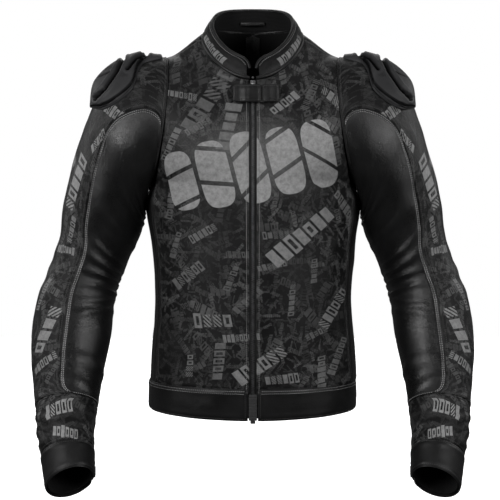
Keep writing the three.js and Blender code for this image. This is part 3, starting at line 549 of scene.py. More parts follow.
class Num:
    """A number that varies over a surface; Python's operators on it add math nodes."""

    def __init__(self, tree, socket):
        self.tree, self.socket = tree, socket

    def calc(self, operation, other=0.0):
        node = put(self.tree, "ShaderNodeMath", {0: self, 1: other}, operation=operation)
        return Num(self.tree, node.outputs[0])

    def __add__(self, other):
        return self.calc("ADD", other)

    def __sub__(self, other):
        return self.calc("SUBTRACT", other)

    def __mul__(self, other):
        return self.calc("MULTIPLY", other)

    def __truediv__(self, other):
        return self.calc("DIVIDE", other)

    def __pow__(self, other):
        return self.calc("POWER", other)

    def __lt__(self, other):
        return self.calc("LESS_THAN", other)

    def __gt__(self, other):
        return self.calc("GREATER_THAN", other)

    def __abs__(self):
        return self.calc("ABSOLUTE")

    def span(self, low, high, to_low=0.0, to_high=1.0):
        """Mapped from one range to another, and clamped to it."""
        inputs = {0: self, 1: low, 2: high, 3: to_low, 4: to_high}
        return Num(self.tree, put(self.tree, "ShaderNodeMapRange", inputs).outputs[0])


def blend_colour(tree, factor, a, b):
    node = put(tree, "ShaderNodeMix", {0: factor}, data_type="RGBA")
    for socket, value in ((node.inputs[6], a), (node.inputs[7], b)):
        feed(tree, socket, (*value, 1) if isinstance(value, tuple) else value)
    return node.outputs[2]


def choose(tree, switch, a, b):
    return Num(tree, put(tree, "ShaderNodeMix", {0: switch, 2: a, 3: b}, data_type="FLOAT").outputs[0])


def shifted(tree, vector, offset, operation="ADD"):
    return put(tree, "ShaderNodeVectorMath", {0: vector, 1: offset}, operation=operation).outputs[0]


def turned(tree, vector, angle):
    inputs = {"Vector": vector, "Angle": angle}
    return put(tree, "ShaderNodeVectorRotate", inputs, rotation_type="Z_AXIS").outputs[0]


def parts(tree, vector):
    return [Num(tree, socket) for socket in put(tree, "ShaderNodeSeparateXYZ", {0: vector}).outputs]


def channels(tree, colour):
    return [Num(tree, socket) for socket in put(tree, "ShaderNodeSeparateColor", {0: colour}).outputs]


def draws(tree, key):
    """Three random numbers that stay the same for the same key."""
    dice = put(tree, "ShaderNodeTexWhiteNoise", {"W": key}, noise_dimensions="1D")
    return channels(tree, dice.outputs["Color"])


def noise_tex(tree, vector, scale, detail=4.0, rough=0.55):
    return Num(tree, put(tree, "ShaderNodeTexNoise", {"Vector": vector, "Scale": scale, "Detail": detail,
                                                      "Roughness": rough}).outputs["Fac"])


def voronoi(tree, vector, scale, feature="F1", dims="3D", random=1.0):
    node = put(tree, "ShaderNodeTexVoronoi", {"Vector": vector, "Scale": scale, "Randomness": random},
               feature=feature, voronoi_dimensions=dims)
    return Num(tree, node.outputs["Distance"])


def bands(tree, vector, scale, distortion, direction, kind="BANDS"):
    inputs = {"Vector": vector, "Scale": scale, "Distortion": distortion}
    return Num(tree, put(tree, "ShaderNodeTexWave", inputs, wave_type=kind,
                         bands_direction=direction).outputs["Fac"])


def bar_row_group():
    """A slanted row of plain blocks, frames and hatched blocks: its brightness at a point."""
    group = bpy.data.node_groups.new("bar_row", "ShaderNodeTree")
    face = group.interface
    face.new_socket("Vector", in_out="INPUT", socket_type="NodeSocketVector")
    for name in ("X", "Z", "Angle", "Length", "Height", "Blocks", "Seed"):
        face.new_socket(name, in_out="INPUT", socket_type="NodeSocketFloat")
    face.new_socket("Value", in_out="OUTPUT", socket_type="NodeSocketFloat")
    given = {socket.name: Num(group, socket) for socket in group.nodes.new("NodeGroupInput").outputs}
    centre = put(group, "ShaderNodeCombineXYZ", {0: given["X"], 1: given["Z"], 2: 0.0}).outputs[0]
    local = shifted(group, given["Vector"], centre, "SUBTRACT")
    x, y, _ = parts(group, turned(group, local, given["Angle"] * -1.0))
    x, y = x / given["Length"], y / given["Height"] * 2.0
    high = abs(y)
    inside = (abs(x) < 0.5) * (high < 1.0)
    along = (x + 0.5) * given["Blocks"] + y * 0.12
    cell = along.calc("FLOOR")
    f = along - cell
    size, style, _ = draws(group, cell + given["Seed"] * 13.7)
    tall = size * 0.3 + 0.7
    off_centre = abs(f - 0.5)
    block = (high < tall) * (off_centre < 0.39)
    frame_rim = (off_centre > 0.16).calc("MAXIMUM", high > tall - 0.38)
    hatch = (f * 2.4 + y * 1.7).calc("FRACT") < 0.55
    look = choose(group, style > 0.42, 1.0, frame_rim)
    look = choose(group, style > 0.84, look, hatch)
    feed(group, group.nodes.new("NodeGroupOutput").inputs[0], inside * block * look)
    return group


BAR_ROW = bar_row_group()


def bar_row(tree, vector, x, z, angle, length, height, blocks, seed, level):
    inputs = dict(Vector=vector, X=x, Z=z, Angle=angle, Length=length, Height=height, Blocks=blocks,
                  Seed=seed)
    node = put(tree, "ShaderNodeGroup", inputs, node_tree=BAR_ROW)
    return Num(tree, node.outputs[0]) * level


def scattered_rows(tree, vector, scale, seed, low, high):
    """Bar rows at random places and angles, one for each cell of a Voronoi pattern."""
    moved = shifted(tree, vector, (seed * 0.37, seed * 0.61, 0))
    cell = put(tree, "ShaderNodeTexVoronoi", {"Vector": moved, "Scale": scale, "Randomness": 0.85},
               voronoi_dimensions="2D")
    local = shifted(tree, moved, cell.outputs["Position"], "SUBTRACT")
    dice = channels(tree, cell.outputs["Color"])
    turn = (dice[0] * 7.0).calc("FLOOR") * 0.449
    length = dice[1].span(0, 1, 0.75 / scale, 1.5 / scale)
    height = dice[2].span(0, 1, 0.16 / scale, 0.4 / scale)
    blocks = (length / (height * 0.62)).calc("ROUND")
    tone = dice[1].span(0, 1, low, high)
    return bar_row(tree, local, 0.0, 0.0, turn, length, height, blocks, dice[2], tone)


class Look:
    """A principled material with helpers for its coordinates, bump and finish."""

    def __init__(self, name, coords="UV"):
        self.mat = bpy.data.materials.new(name)
        self.mat.use_nodes = True
        self.tree = self.mat.node_tree
        self.bsdf = self.tree.nodes["Principled BSDF"]
        self.where = put(self.tree, "ShaderNodeTexCoord").outputs[coords]
        self.bump_from = None

    def wire(self, **inputs):
        for key, value in inputs.items():
            feed(self.tree, self.bsdf.inputs[key.replace("_", " ")], value)
        return self

    def bump(self, height, distance, strength=1.0):
        inputs = {"Height": height, "Distance": distance, "Strength": strength}
        if self.bump_from is not None:
            inputs["Normal"] = self.bump_from
        self.bump_from = put(self.tree, "ShaderNodeBump", inputs).outputs[0]
        self.tree.links.new(self.bump_from, self.bsdf.inputs["Normal"])
        return self


def leather_grain(look, scale, depth=0.00022):
    """Pebbled grain with fine creases; returns the height of the grain."""
    tree, where = look.tree, look.where
    pebble = voronoi(tree, where, scale, "SMOOTH_F1")
    crease = (voronoi(tree, where, scale * 0.55, "DISTANCE_TO_EDGE") * 5.0).calc("MINIMUM", 1.0)
    height = pebble * 0.7 + crease * 0.5
    look.bump(noise_tex(tree, where, 60.0, 5.0), 0.0012, 0.35)
    look.bump(height, depth, 0.8)
    return height


def leather(name, colour, worn, rough=(0.38, 0.56), grain=900.0, shine=0.18):
    look = Look(name)
    tree = look.tree
    height = leather_grain(look, grain)
    broad = noise_tex(tree, look.where, 14.0, 5.0)
    fine = noise_tex(tree, look.where, 240.0, 3.0)
    tint = blend_colour(tree, broad.span(0.35, 0.7), colour, worn)
    tint = blend_colour(tree, fine.span(0.62, 0.8, 0, 0.5), tint, worn)
    roughness = broad.span(0.3, 0.7, *rough) + height.span(0.2, 1.0, 0.06, -0.06)
    return look.wire(Base_Color=tint, Roughness=roughness, Sheen_Weight=0.02, Sheen_Roughness=0.45,
                     Specular_IOR_Level=shine)


PRINT_LIGHT = (0.31, 0.31, 0.31)
SCATTER = [(23.0, 1.0, 0.03, 0.32), (38.0, 2.0, 0.03, 0.3), (61.0, 3.0, 0.04, 0.26),
           (92.0, 7.0, 0.04, 0.2)]      # scale, seed, lowest and highest brightness
# the chest mark: where its middle is, how it slants, and its shapes' pitch, half width and half heights
CHEST_AT, CHEST_TILT = (-0.004, -0.176, 0), math.radians(11)
CAPSULE = dict(count=5, pitch=0.0565, half=0.44, low=0.047, high=0.058)
GLOW_HALF_WIDTH, GLOW_HALF_HEIGHT, GLOW_Z = 0.15, 0.085, -0.16


def print_rows(tree, where, rows):
    out = 0.0
    for x, z, angle, length, height, blocks, level in rows:
        seed = float(abs(int(x * 7 + z * 3)) % 97)
        one = bar_row(tree, where, x * MM, z * MM, math.radians(angle), length * MM, height * MM,
                      float(blocks), seed, level)
        out = one.calc("MAXIMUM", out)
    return out


def capsule_row(tree, where):
    """The large chest mark: heavy rounded shapes, each cut by slanting slits, rising to one side."""
    x, y, _ = parts(tree, turned(tree, shifted(tree, where, CHEST_AT, "SUBTRACT"), -CHEST_TILT))
    along = (x + y * 0.06) / CAPSULE["pitch"] + CAPSULE["count"] / 2
    cell = along.calc("FLOOR")
    row = (along > 0.0) * (along < CAPSULE["count"])
    size, start, tilt = draws(tree, cell + 4.0)
    up = y / size.span(0, 1, CAPSULE["low"], CAPSULE["high"])
    wide = (along - cell - 0.5) / CAPSULE["half"]
    edge = abs(wide) ** 2.6 + abs(up) ** 5.0
    slit = (up * 0.95 + wide * tilt.span(0, 1, -0.5, 0.5) + start).calc("FRACT") > 0.13
    return row * slit * (edge < 1.0)


def chest_print(tree, where, value):
    """The chest mark over a glow of dots that thin out away from the middle."""
    dot = voronoi(tree, turned(tree, where, 0.785), 620.0, dims="2D", random=0.0)
    x, z, _ = parts(tree, where)
    away = (x / GLOW_HALF_WIDTH) ** 2.0 + ((z - GLOW_Z) / GLOW_HALF_HEIGHT) ** 2.0
    tone = dot < away.span(0.0, 1.3, 0.5, 0.0)
    value = value.calc("MAXIMUM", tone * away.span(0.2, 1.25, 1.0, 0.0) * 0.36)
    return value.calc("MAXIMUM", capsule_row(tree, where) * dot.span(0.3, 0.62, 1.0, 0.66))


def printed(name, rows, scatter=1.0, chest=False, offset=0.0):
    """Near-black leather printed all over with grey bar marks, some of them large."""
    look = leather(name, (0.0032, 0.0032, 0.0033), (0.0066, 0.0066, 0.0068), (0.42, 0.58), shine=0.15)
    tree, where = look.tree, look.where
    place = shifted(tree, where, (offset, 0, 0))
    value = 0.0
    for scale, seed, low, high in SCATTER:
        one = scattered_rows(tree, place, scale, seed, low * scatter, high * scatter)
        value = one.calc("MAXIMUM", value)
    value = value * noise_tex(tree, place, 9.0, 2.0).span(0.38, 0.62, 0.3, 1.0)
    value = value.calc("MAXIMUM", print_rows(tree, where, rows))
    if chest:
        value = chest_print(tree, where, value)
    value = value * noise_tex(tree, where, 130.0, 5.0, 0.7).span(0.3, 0.6, 0.55, 1.0)
    base = look.bsdf.inputs["Base Color"].links[0].from_socket
    return look.wire(Base_Color=blend_colour(tree, value, base, PRINT_LIGHT)).mat


FRONT_ROWS = [  # x, z, angle, length, height, blocks, level: in the plane of the jacket's front
    (78, -285, 38, 128, 33, 7, 0.62), (-38, -112, 76, 78, 26, 5, 0.42), (-70, -70, 55, 118, 34, 6, 0.26),
    (50, -75, 35, 52, 16, 5, 0.55), (-65, -418, 2, 66, 24, 4, 0.5), (12, -488, 32, 92, 27, 6, 0.6),
    (-18, -444, 4, 60, 13, 9, 0.48), (-54, -482, 84, 62, 18, 5, 0.34), (-103, -492, 86, 38, 13, 4, 0.42),
    (47, -511, 4, 56, 16, 6, 0.5), (113, -503, 90, 54, 15, 6, 0.42), (137, -402, 52, 74, 22, 6, 0.52),
    (144, -480, 62, 66, 15, 7, 0.36), (156, -240, -52, 62, 16, 6, 0.36), (-80, -280, 28, 50, 17, 6, 0.4),
    (36, -282, 2, 44, 13, 5, 0.3), (-106, -347, 36, 62, 21, 6, 0.34), (30, -330, 12, 48, 11, 6, 0.32),
    (-86, -112, 28, 46, 13, 6, 0.34), (-118, -62, -10, 60, 12, 8, 0.4), (92, -62, 62, 56, 15, 6, 0.22),
    (100, -340, 88, 40, 12, 5, 0.3), (62, -385, 86, 52, 12, 6, 0.34), (-8, -385, 40, 56, 14, 6, 0.26),
    (-128, -300, 70, 46, 13, 5, 0.28), (104, -440, 20, 40, 12, 5, 0.34), (-132, -140, 60, 60, 15, 6, 0.36),
    (128, -68, -42, 46, 15, 4, 0.5), (118, -108, -34, 40, 11, 6, 0.3), (-34, -350, 66, 44, 12, 5, 0.26)]
SLEEVE_ROWS = [  # distance round the sleeve from the front seam line, and -distance along the arm
    (-40, -168, 84, 76, 32, 5, 0.8), (-30, -388, 66, 78, 28, 4, 0.75), (-8, -513, 10, 46, 22, 5, 0.85),
    (3, -549, -14, 42, 18, 6, 0.8), (-34, -262, 6, 44, 12, 7, 0.6), (-26, -230, 80, 44, 14, 5, 0.55),
    (-52, -330, 70, 52, 14, 6, 0.5), (-30, -440, 20, 52, 14, 6, 0.6), (-10, -98, 62, 40, 13, 5, 0.7),
    (-14, -60, 20, 44, 15, 5, 0.6), (-100, -180, 60, 90, 30, 6, 0.6), (-120, -330, 30, 80, 26, 5, 0.6)]
COLLAR_ROWS = [(-142, -20, 0, 60, 19, 8, 0.55), (142, -20, 0, 60, 19, 8, 0.55)]


def mesh_cloth(name):
    look = Look(name)
    tree = look.tree
    hole = voronoi(tree, look.where, 420.0, dims="2D", random=0.12)
    shade = noise_tex(tree, look.where, 30.0).span(0.3, 0.7, 0.0, 0.5)
    cloth = blend_colour(tree, shade, (0.004, 0.004, 0.0042), (0.008, 0.008, 0.0084))
    look.wire(Base_Color=blend_colour(tree, hole.span(0.22, 0.36), (0.001, 0.001, 0.001), cloth),
              Roughness=hole.span(0.2, 0.5, 0.95, 0.8), Sheen_Weight=0.03, Specular_IOR_Level=0.15)
    return look.bump(hole, 0.0006, 0.9).mat


def woven(name, dark, light, scale=700.0, rough=0.82):
    look = Look(name)
    tree = look.tree
    rib = bands(tree, look.where, scale, 0.4, "Y")
    weft = bands(tree, look.where, scale * 0.6, 0.2, "X")
    weave = rib * (weft * 0.6 + 0.4)
    fuzz = noise_tex(tree, look.where, 900.0, 2.0)
    look.wire(Base_Color=blend_colour(tree, weave * fuzz, dark, light),
              Roughness=fuzz.span(0.3, 0.7, rough - 0.08, rough + 0.08), Sheen_Weight=0.2)
    return look.bump(weave, 0.0003, 0.8).mat


def metal(name, colour):
    look = Look(name, "Object")
    tree = look.tree
    scratch = noise_tex(tree, look.where, 1500.0, 6.0, 0.7)
    stain = noise_tex(tree, look.where, 160.0, 4.0)
    dark = tuple(c * 0.45 for c in colour)
    look.wire(Base_Color=blend_colour(tree, stain.span(0.35, 0.7), colour, dark),
              Roughness=scratch.span(0.3, 0.7, 0.24, 0.46), Metallic=1.0)
    return look.bump(scratch, 0.00008, 0.5).mat


def thread(name, colour):
    look = Look(name, "Object")
    tree = look.tree
    ply = bands(tree, look.where, 900.0, 1.0, "DIAGONAL")
    dirt = noise_tex(tree, look.where, 40.0)
    dark = tuple(c * 0.3 for c in colour)
    look.wire(Base_Color=blend_colour(tree, dirt.span(0.35, 0.7), colour, dark), Roughness=0.7)
    return look.bump(ply, 0.0001, 0.5).mat


def moulded(name, dark, light, dimple=380.0, rough=(0.5, 0.64), depth=0.0002):
    """Matte moulded rubber or foam: fine spark texture, dimples where one mask says so, and painted shade in
    the grooves where another mask says so.
    """
    look = Look(name)
    tree = look.tree
    spark = noise_tex(tree, look.where, 2200.0, 3.0, 0.7)
    broad = noise_tex(tree, look.where, 22.0, 4.0)
    textured, painted_groove_shade = (Num(tree, put(tree, "ShaderNodeAttribute", attribute_name=mask_name).outputs["Fac"])
                        for mask_name in ("textured", "painted_groove_shade"))
    dots = (voronoi(tree, look.where, dimple, dims="2D", random=0.0) < 0.34) * textured
    colour = blend_colour(tree, broad.span(0.35, 0.7), dark, light)
    colour = blend_colour(tree, textured * 0.55, colour, tuple(c * 0.45 for c in dark))
    # painted shade: where the groove mask says so, the colour drops to a tenth of the dark tone and the gloss
    # is lowered
    colour = blend_colour(tree, painted_groove_shade, colour, tuple(c * 0.1 for c in dark))
    look.wire(Base_Color=colour, Roughness=(broad + spark).span(0.7, 1.3, *rough),
              Specular_IOR_Level=painted_groove_shade.span(0, 1, 0.3, 0.02))
    look.bump(spark, depth, 0.5)
    return look.bump(dots, 0.0005, 0.8).mat


M_FRONT = printed("printed_leather_front", FRONT_ROWS, chest=True)
M_BACK = printed("printed_leather_back", [], scatter=1.25, offset=3.0)
M_SLEEVE = printed("printed_leather_sleeve", SLEEVE_ROWS, scatter=1.0, offset=5.0)
M_COLLAR = printed("printed_leather_collar", COLLAR_ROWS, scatter=0.12, offset=7.0)
M_BLACK = leather("black_leather", (0.003, 0.003, 0.0031), (0.006, 0.006, 0.0062), (0.34, 0.5), shine=0.26).mat
M_STRETCH = leather("black_stretch_leather", (0.0032, 0.0032, 0.0033), (0.0062, 0.0062, 0.0064),
                    (0.27, 0.39), 1100.0, 0.34).mat
M_WELT = leather("welt_leather", (0.007, 0.007, 0.0072), (0.016, 0.016, 0.0163), (0.42, 0.58)).mat
M_CUP = moulded("cup_elastomer", (0.016, 0.016, 0.017), (0.024, 0.024, 0.0255))
M_FOAM = moulded("armour_foam", (0.03, 0.032, 0.036), (0.05, 0.052, 0.058), 90.0, (0.8, 0.95), 0.0005)
M_MESH = mesh_cloth("mesh_lining")
M_TAPE = woven("zip_tape", (0.004, 0.004, 0.004), (0.02, 0.02, 0.021))
M_KNIT = woven("knit_trim", (0.008, 0.008, 0.008), (0.045, 0.045, 0.047), 300.0)
M_ZIP = metal("zip_metal", (0.42, 0.42, 0.43))
M_THREAD = thread("thread", (0.3, 0.3, 0.3))
M_THREAD_DARK = thread("dark_thread", (0.05, 0.05, 0.05))


# ---- helpers for the pieces -------------------------------------------------------------------
def flip_x(p, side):
    return p * np.array([side, 1, 1])


def on_body(obj, body, *nodes):
    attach(obj, body)
    if nodes:
        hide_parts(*nodes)
    return obj


def bend_at_elbow(obj, name, side, *nodes):
    """Fabric that crosses the elbow: its placement is baked into its mesh and the CAD parts it stands for are
    hidden; it is not bent, and the two elbow points worked out here are not used.
    """
    start, end = (flip_x(sleeve(t, [0, 90, 180, 270]).mean(0), side) * MM for t in (243, 337))
    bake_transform(obj)
    if nodes:
        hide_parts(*nodes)
    return obj


def grid(u_lines, v_lines):
    return np.meshgrid(u_lines, v_lines)


def mask(obj, name, values):
    layer = obj.data.attributes.new(name, "FLOAT", "POINT")
    layer.data.foreach_set("value", np.asarray(values, np.float32).ravel())


def backing(name, source, keep, step=2):
    """A lining that follows a panel's inside, without the seams' relief."""
    rows, cols = keep
    p, n = source.base[rows][::step, cols][:, ::step], source.normal[rows][::step, cols][:, ::step]
    verts, faces = slab_faces(p.shape[0], p.shape[1], p + n * LINING_TOP, p + n * LINING_BOTTOM, source.wrap)
    uv = np.stack([source.gaps["l"], -source.gaps["t"]], -1)[rows][::step, cols][:, ::step]
    return make(name, verts, faces, M_MESH, np.concatenate([uv.reshape(-1, 2)] * 2))


def back_surface(u, v):
    """The whole back: u runs from one side to the other, with 0 at the spine."""
    p = body_panel(np.abs(u), v, False)
    p[..., 0] *= np.sign(u)
    return p


def front_strip(x, z):
    """A strip down the middle of the front, x to the side of the zip."""
    return section(np.arcsin(x / STRIP_RADIUS), z)


# ---- body ---------------------------------------------------------------------------------------
U_BODY, V_BODY = lines(172, 5.0), lines(560, 5.0)
body_stitches, body_threads = [], []
panels = {}
for name, side in SIDES.items():
    u, v = grid(U_BODY, mix(0.0012, 0.9985, V_BODY))
    inset = smooth(0.1, NECK_SHARE, v) * 6 / mix(140, 200, smooth(0.15, 0.5, v))
    far = 0.9995 + 0.0195 * (1 - smooth(ARM_SHARE - 0.06, ARM_SHARE, v))
    front_grid = flip_x(body_panel(mix(inset, far, u), v, True), side)
    back_grid = body_panel(mix(0.0004, far, u), v, False)
    back_grid[..., 0] = np.maximum(back_grid[..., 0], 0.06)
    back_grid = flip_x(back_grid, side)
    for which, p, look in (("front", front_grid, M_FRONT), ("back", back_grid, M_BACK)):
        across = spans(p)[0]
        x = np.abs(p[..., 0])
        arc = x + 0.6 * (across - (x - x[:, :1]))
        uv = np.stack([arc * side * (1 if which == "front" else -1), p[..., 2]], -1)
        shoulder = mix(0.25, 1.0, smooth(ARM_SHARE - 0.12, ARM_SHARE, v))
        panel = Panel(f"{which}_panel_leather_{name}", p, look, "printed_leather", body_relief(p), uv=uv,
                      soften={"r": shoulder})
        on_body(panel.obj, "jacket_body", f"{which}_panel_{name}")
        panels[which, name] = panel
        points, normals = panel.path("r", 4.0, (6, 6))
        lower_rows = int(np.argmax(V_BODY > ARM_SHARE))
        body_threads.append((points[lower_rows:], normals[lower_rows:]))
        body_threads.append(panel.path("t", 4.0, (6, 6)))
        first = int(np.argmax(panel.gaps["l"].mean(0) > (24 if which == "front" else 0.9)))
        inner = backing(f"{which}_lining_mesh_{name}", panel, (slice(2, -1), slice(max(1, first), -1)))
        on_body(inner, "jacket_body", f"{which}_lining_{name}")
    neck_rows = int(np.argmax(V_BODY > 0.215))
    points, normals = panels["front", name].path("l", 4.0, (4, 4))
    body_stitches.append((points[neck_rows:], normals[neck_rows:]))
    body_threads.append((points[:neck_rows], normals[:neck_rows]))
    body_threads.append(panels["back", name].path("l", 4.0, (4, 4)))

    u, v = grid(lines(84, 5.0), mix(0.012, 0.997, lines(335, 5.0)))
    edge = 0.001 + 0.016 * (1 - smooth(0, 0.12, v))
    p = flip_x(side_panel(mix(edge, 1 - edge, u), v), side)
    panel = Panel(f"side_panel_leather_{name}", p, M_STRETCH, "black_stretch_leather", body_relief(p))
    on_body(panel.obj, "jacket_body", f"side_panel_{name}")
    body_threads += [panel.path("l", 4.0, (6, 6)), panel.path("r", 4.0, (6, 6))]

# the tape sewn over the inside of the spine seam, from the neck down: above NECK_SHARE the panels part
u, v = grid(np.linspace(-0.07, 0.07, 13), np.linspace(NECK_SHARE + 0.002, 0.96, 110))
p = back_surface(u, v)
tape = Panel("spine_seam_tape", p, M_TAPE, "zip_tape", np.minimum(body_relief(p), 0), away=CHEST, lift=-3.6,
             thick=0.8, seams="")
on_body(tape.obj, "jacket_body")

# waistband
band_edge, band_seam = math.asin(8 / STRIP_RADIUS), 0.15 / STRIP_RADIUS
for name, a, b, length in (("waistband_front_left", band_edge, QUARTER - band_seam, 215),
                           ("waistband_front_right", -QUARTER + band_seam, -band_edge, 215),
                           ("waistband_back", QUARTER + band_seam, 3 * QUARTER - band_seam, 450)):
    u, v = grid(lines(length, 5.0), lines(44, 3.0))
    drop = HEM_DROP * np.clip(np.cos(mix(a, b, u)), 0, 1) ** 2
    p = section(mix(a, b, u), mix(WAIST_Z + BAND_LAP, HEM_Z - drop, v))
    puff = 1.1 * np.sin(math.pi * v) ** 0.7 + noise(p, 30, 21) * 0.5 + noise(p, 12, 22) * 0.2
    ripple = 0.5 * np.sin(p[..., 0] / 9.0 + 2.5 * noise(p, 60, 23)) * np.exp(-(v / 0.3) ** 2)
    panel = Panel(name + "_leather", p, M_BLACK, "black_leather", puff + ripple, lift=1.5, thick=3.5,
                  away=(0, 2, -553))
    on_body(panel.obj, "jacket_body", name)
    body_stitches += [panel.path("t", 3.6, (5, 5)), panel.path("t", 7.6, (5, 5))]
    body_threads += [panel.path("b", 4.0, (5, 5)), panel.path("l", 4.0, (5, 5)), panel.path("r", 4.0, (5, 5))]


# collar
def collar_grid(reach, count_u, count_v):
    """The stand-up part between its foot and its binding, lower towards its two ends."""
    u, t = grid(np.linspace(-reach, reach, count_u), np.linspace(0.05, 0.925, count_v))
    return collar(COLLAR_END * (1.5 * u - 0.5 * u ** 3), t * (1 - 0.33 * smooth(0.72, 1, np.abs(u))))


p = collar_grid(0.88, 150, 24)
at_spine = np.argmin(np.abs(p[0, :, 0]) + (p[0, :, 1] < 0) * 999)
across = spans(p)[0]
collar_x = across - across[:, at_spine:at_spine + 1]
stand = Panel("collar_stand_leather", p, M_COLLAR, "printed_leather", noise(p, 30, 31) * 0.5, lift=1.6,
              thick=2.8, away=NECK_MIDDLE, seams="tb", strength=0.6,
              uv=np.stack([collar_x * 0.78, -spans(p)[3]], -1))
on_body(stand.obj, "jacket_body", "collar_stand")
p = collar_grid(0.86, 120, 10)
inner = Panel("collar_lining_mesh", p, M_MESH, "mesh_lining", lift=-1.8, thick=1.4, away=NECK_MIDDLE,
              seams="")
on_body(inner.obj, "jacket_body", "collar_lining")
angles = np.radians(np.r_[np.linspace(-176.2, -160, 24), np.linspace(-159, 159, 120),
                          np.linspace(160, 176.2, 24)])      # closer together round the two front corners


def collar_path(t, spread=0.03):
    strip = collar(angles[None], np.array([[t - spread], [t], [t + spread]]))
    return strip[1], grid_normals(strip, NECK_MIDDLE)[1]


def rounded_profile(width, height, power=3.0, count=16, shift=0.0):
    a = np.linspace(0, 2 * math.pi, count, endpoint=False)
    c, s = np.cos(a), np.sin(a)
    return np.stack([np.sign(c) * np.abs(c) ** (2 / power) * width / 2,
                     np.sign(s) * np.abs(s) ** (2 / power) * height / 2 + shift], -1)


points, normals = collar_path(0.955)
binding = sweep("collar_binding_leather", points, normals, rounded_profile(5.0, 5.8, shift=-0.7), M_BLACK)
on_body(binding, "jacket_body", "collar_binding")
points, normals = collar_path(0.02)
piping = sweep("collar_base_piping", points + normals * 1.4, normals, rounded_profile(5.4, 4.4, 2.2), M_BLACK)
on_body(piping, "jacket_body")
body_stitches.append(stand.path("b", 3.4, (3, 3)))
body_threads.append(stand.path("t", 2.6, (3, 3)))
loop_u = np.linspace(0, 1, 21)
p = collar(mix(-42, 42, loop_u) / 2 / 80, 0.3 + 0 * loop_u)
p = p + vec(0, -5.6 - 7 * np.sin(math.pi * loop_u), 3.0)
loop = sweep("hanger_loop_strap", p, vec(0, 0, 1) + 0 * p, rounded_profile(2.0, 6.0), M_BLACK)
on_body(loop, "jacket_body", "hanger_loop")


# ---- front closure ------------------------------------------------------------------------------
def zip_frame(z):
    z = np.asarray(z, float)
    p = vec(0, zip_y(z), z)
    out = unit(vec(0, zip_y(z) - ZIP_CENTRE_Y, z - ZIP_CENTRE_Z))
    return p, out, vec(0, out[..., 2], -out[..., 1])


def teeth_mesh(name, p, out, up, across, material, size, side):
    """A row of teeth: each is a tapered block with a rounded nose that meets the other row."""
    reach, nose, half, low, high = size
    outline = np.array([(-nose, -half * 0.7), (0.3, -half), (reach, -half), (reach, half), (0.3, half),
                        (-nose, half * 0.7)])
    rings = [(low, 1.0), (high - 0.4, 1.0), (high, 0.72)]
    verts, faces, k = [], [], len(outline)
    for level, scale in rings:
        for x, y in outline:
            cx = (reach - nose) / 2
            verts.append(p + across * (side * (cx + (x - cx) * scale)) + up * y * scale + out * level)
    total = len(p)
    for m in range(total):
        def at(r, i):
            return (r * k + i % k) * total + m
        for r in range(2):
            faces += [(at(r, i), at(r, i + 1), at(r + 1, i + 1), at(r + 1, i)) for i in range(k)]
        faces += [tuple(at(0, i) for i in reversed(range(k))), tuple(at(2, i) for i in range(k))]
    if side < 0:
        faces = [tuple(reversed(f)) for f in faces]
    return make(name, np.concatenate(verts), faces, material, sharp=30)


PITCH = 2.9
for name, side in SIDES.items():
    z = np.arange(-41, -573, -PITCH) - (PITCH / 2 if side < 0 else 0)
    p, out, up = zip_frame(z)
    teeth = teeth_mesh(f"zip_teeth_row_{name}", p, out, up, vec(1, 0, 0), M_ZIP, (2.5, 0.8, 0.62, -2.6, 0.5),
                       side)
    on_body(teeth, "jacket_body", f"zip_teeth_{name}")
    u, z = grid(np.linspace(2.7, 14, 8) * side, np.linspace(-54, -574, 120))
    p = front_strip(u, z)
    tape = Panel(f"zip_tape_woven_{name}", p, M_TAPE, "zip_tape", away=BEHIND_FRONT, lift=-3.4, thick=0.8,
                 seams="", relief=noise(p, 20, 41) * 0.15)
    on_body(tape.obj, "jacket_body", f"zip_tape_{name}")
u, z = grid(lines(48, 5), np.linspace(-54, -576, 112))
p = front_strip(mix(-24, 24, u), z)
flap = Panel("storm_flap_leather", p, M_BLACK, "black_leather", noise(p, 25, 43) * 0.3, away=BEHIND_FRONT,
             lift=-5.2, thick=1.4, seams="lr", strength=0.4)
on_body(flap.obj, "jacket_body", "storm_flap")
guard_tall, half_rib = 42, 2.6
u, v = grid(lines(13, 0.9), lines(guard_tall, 0.9))
p = front_strip(mix(-6.5, 6.5, u), mix(-536, -536 - guard_tall, v))
guard = Panel("hem_zip_guard_knit", p, M_KNIT, "knit_trim", 0.45 * np.sin(v * guard_tall / half_rib * math.pi),
              away=BEHIND_FRONT, lift=2.6, thick=2.2, strength=0.5)
on_body(guard.obj, "jacket_body", "hem_zip_guard")


def prism(name, outline, low, high, bevel, place, material):
    """A bevelled plate: an outline in (x, y) between two levels, put in place by three directions."""
    outline = np.asarray(outline, float)
    size = np.abs(outline).max(0)
    origin, across, up, out = place
    rings = [(low, 1), (low + bevel, 0), (high - bevel, 0), (high, 1)]
    verts, k = [], len(outline)
    for level, shrink in rings:
        flat = outline * (1 - shrink * bevel / size)
        verts.append(origin + flat[:, :1] * across + flat[:, 1:] * up + level * out)
    faces = [tuple(reversed(range(k))), tuple(3 * k + i for i in range(k))]
    for r in range(3):
        faces += [(r * k + i, r * k + (i + 1) % k, (r + 1) * k + (i + 1) % k, (r + 1) * k + i)
                  for i in range(k)]
    if np.dot(np.cross(across, up), out) < 0:
        faces = [tuple(reversed(f)) for f in faces]
    return make(name, np.concatenate(verts), faces, material, sharp=30)


def round_outline(width, height, radius, steps=5, waist=0.0):
    points = []
    for x, y, turn in ((1, -1, 3), (1, 1, 0), (-1, 1, 1), (-1, -1, 2)):
        for a in np.linspace(turn, turn + 1, steps) * QUARTER:
            points.append((x * (width / 2 - radius) + radius * math.cos(a),
                           y * (height / 2 - radius) + radius * math.sin(a)))
    out = np.array(points)
    out[:, 0] *= 1 - waist * smooth(-height / 2, height / 2, -out[:, 1])
    return out


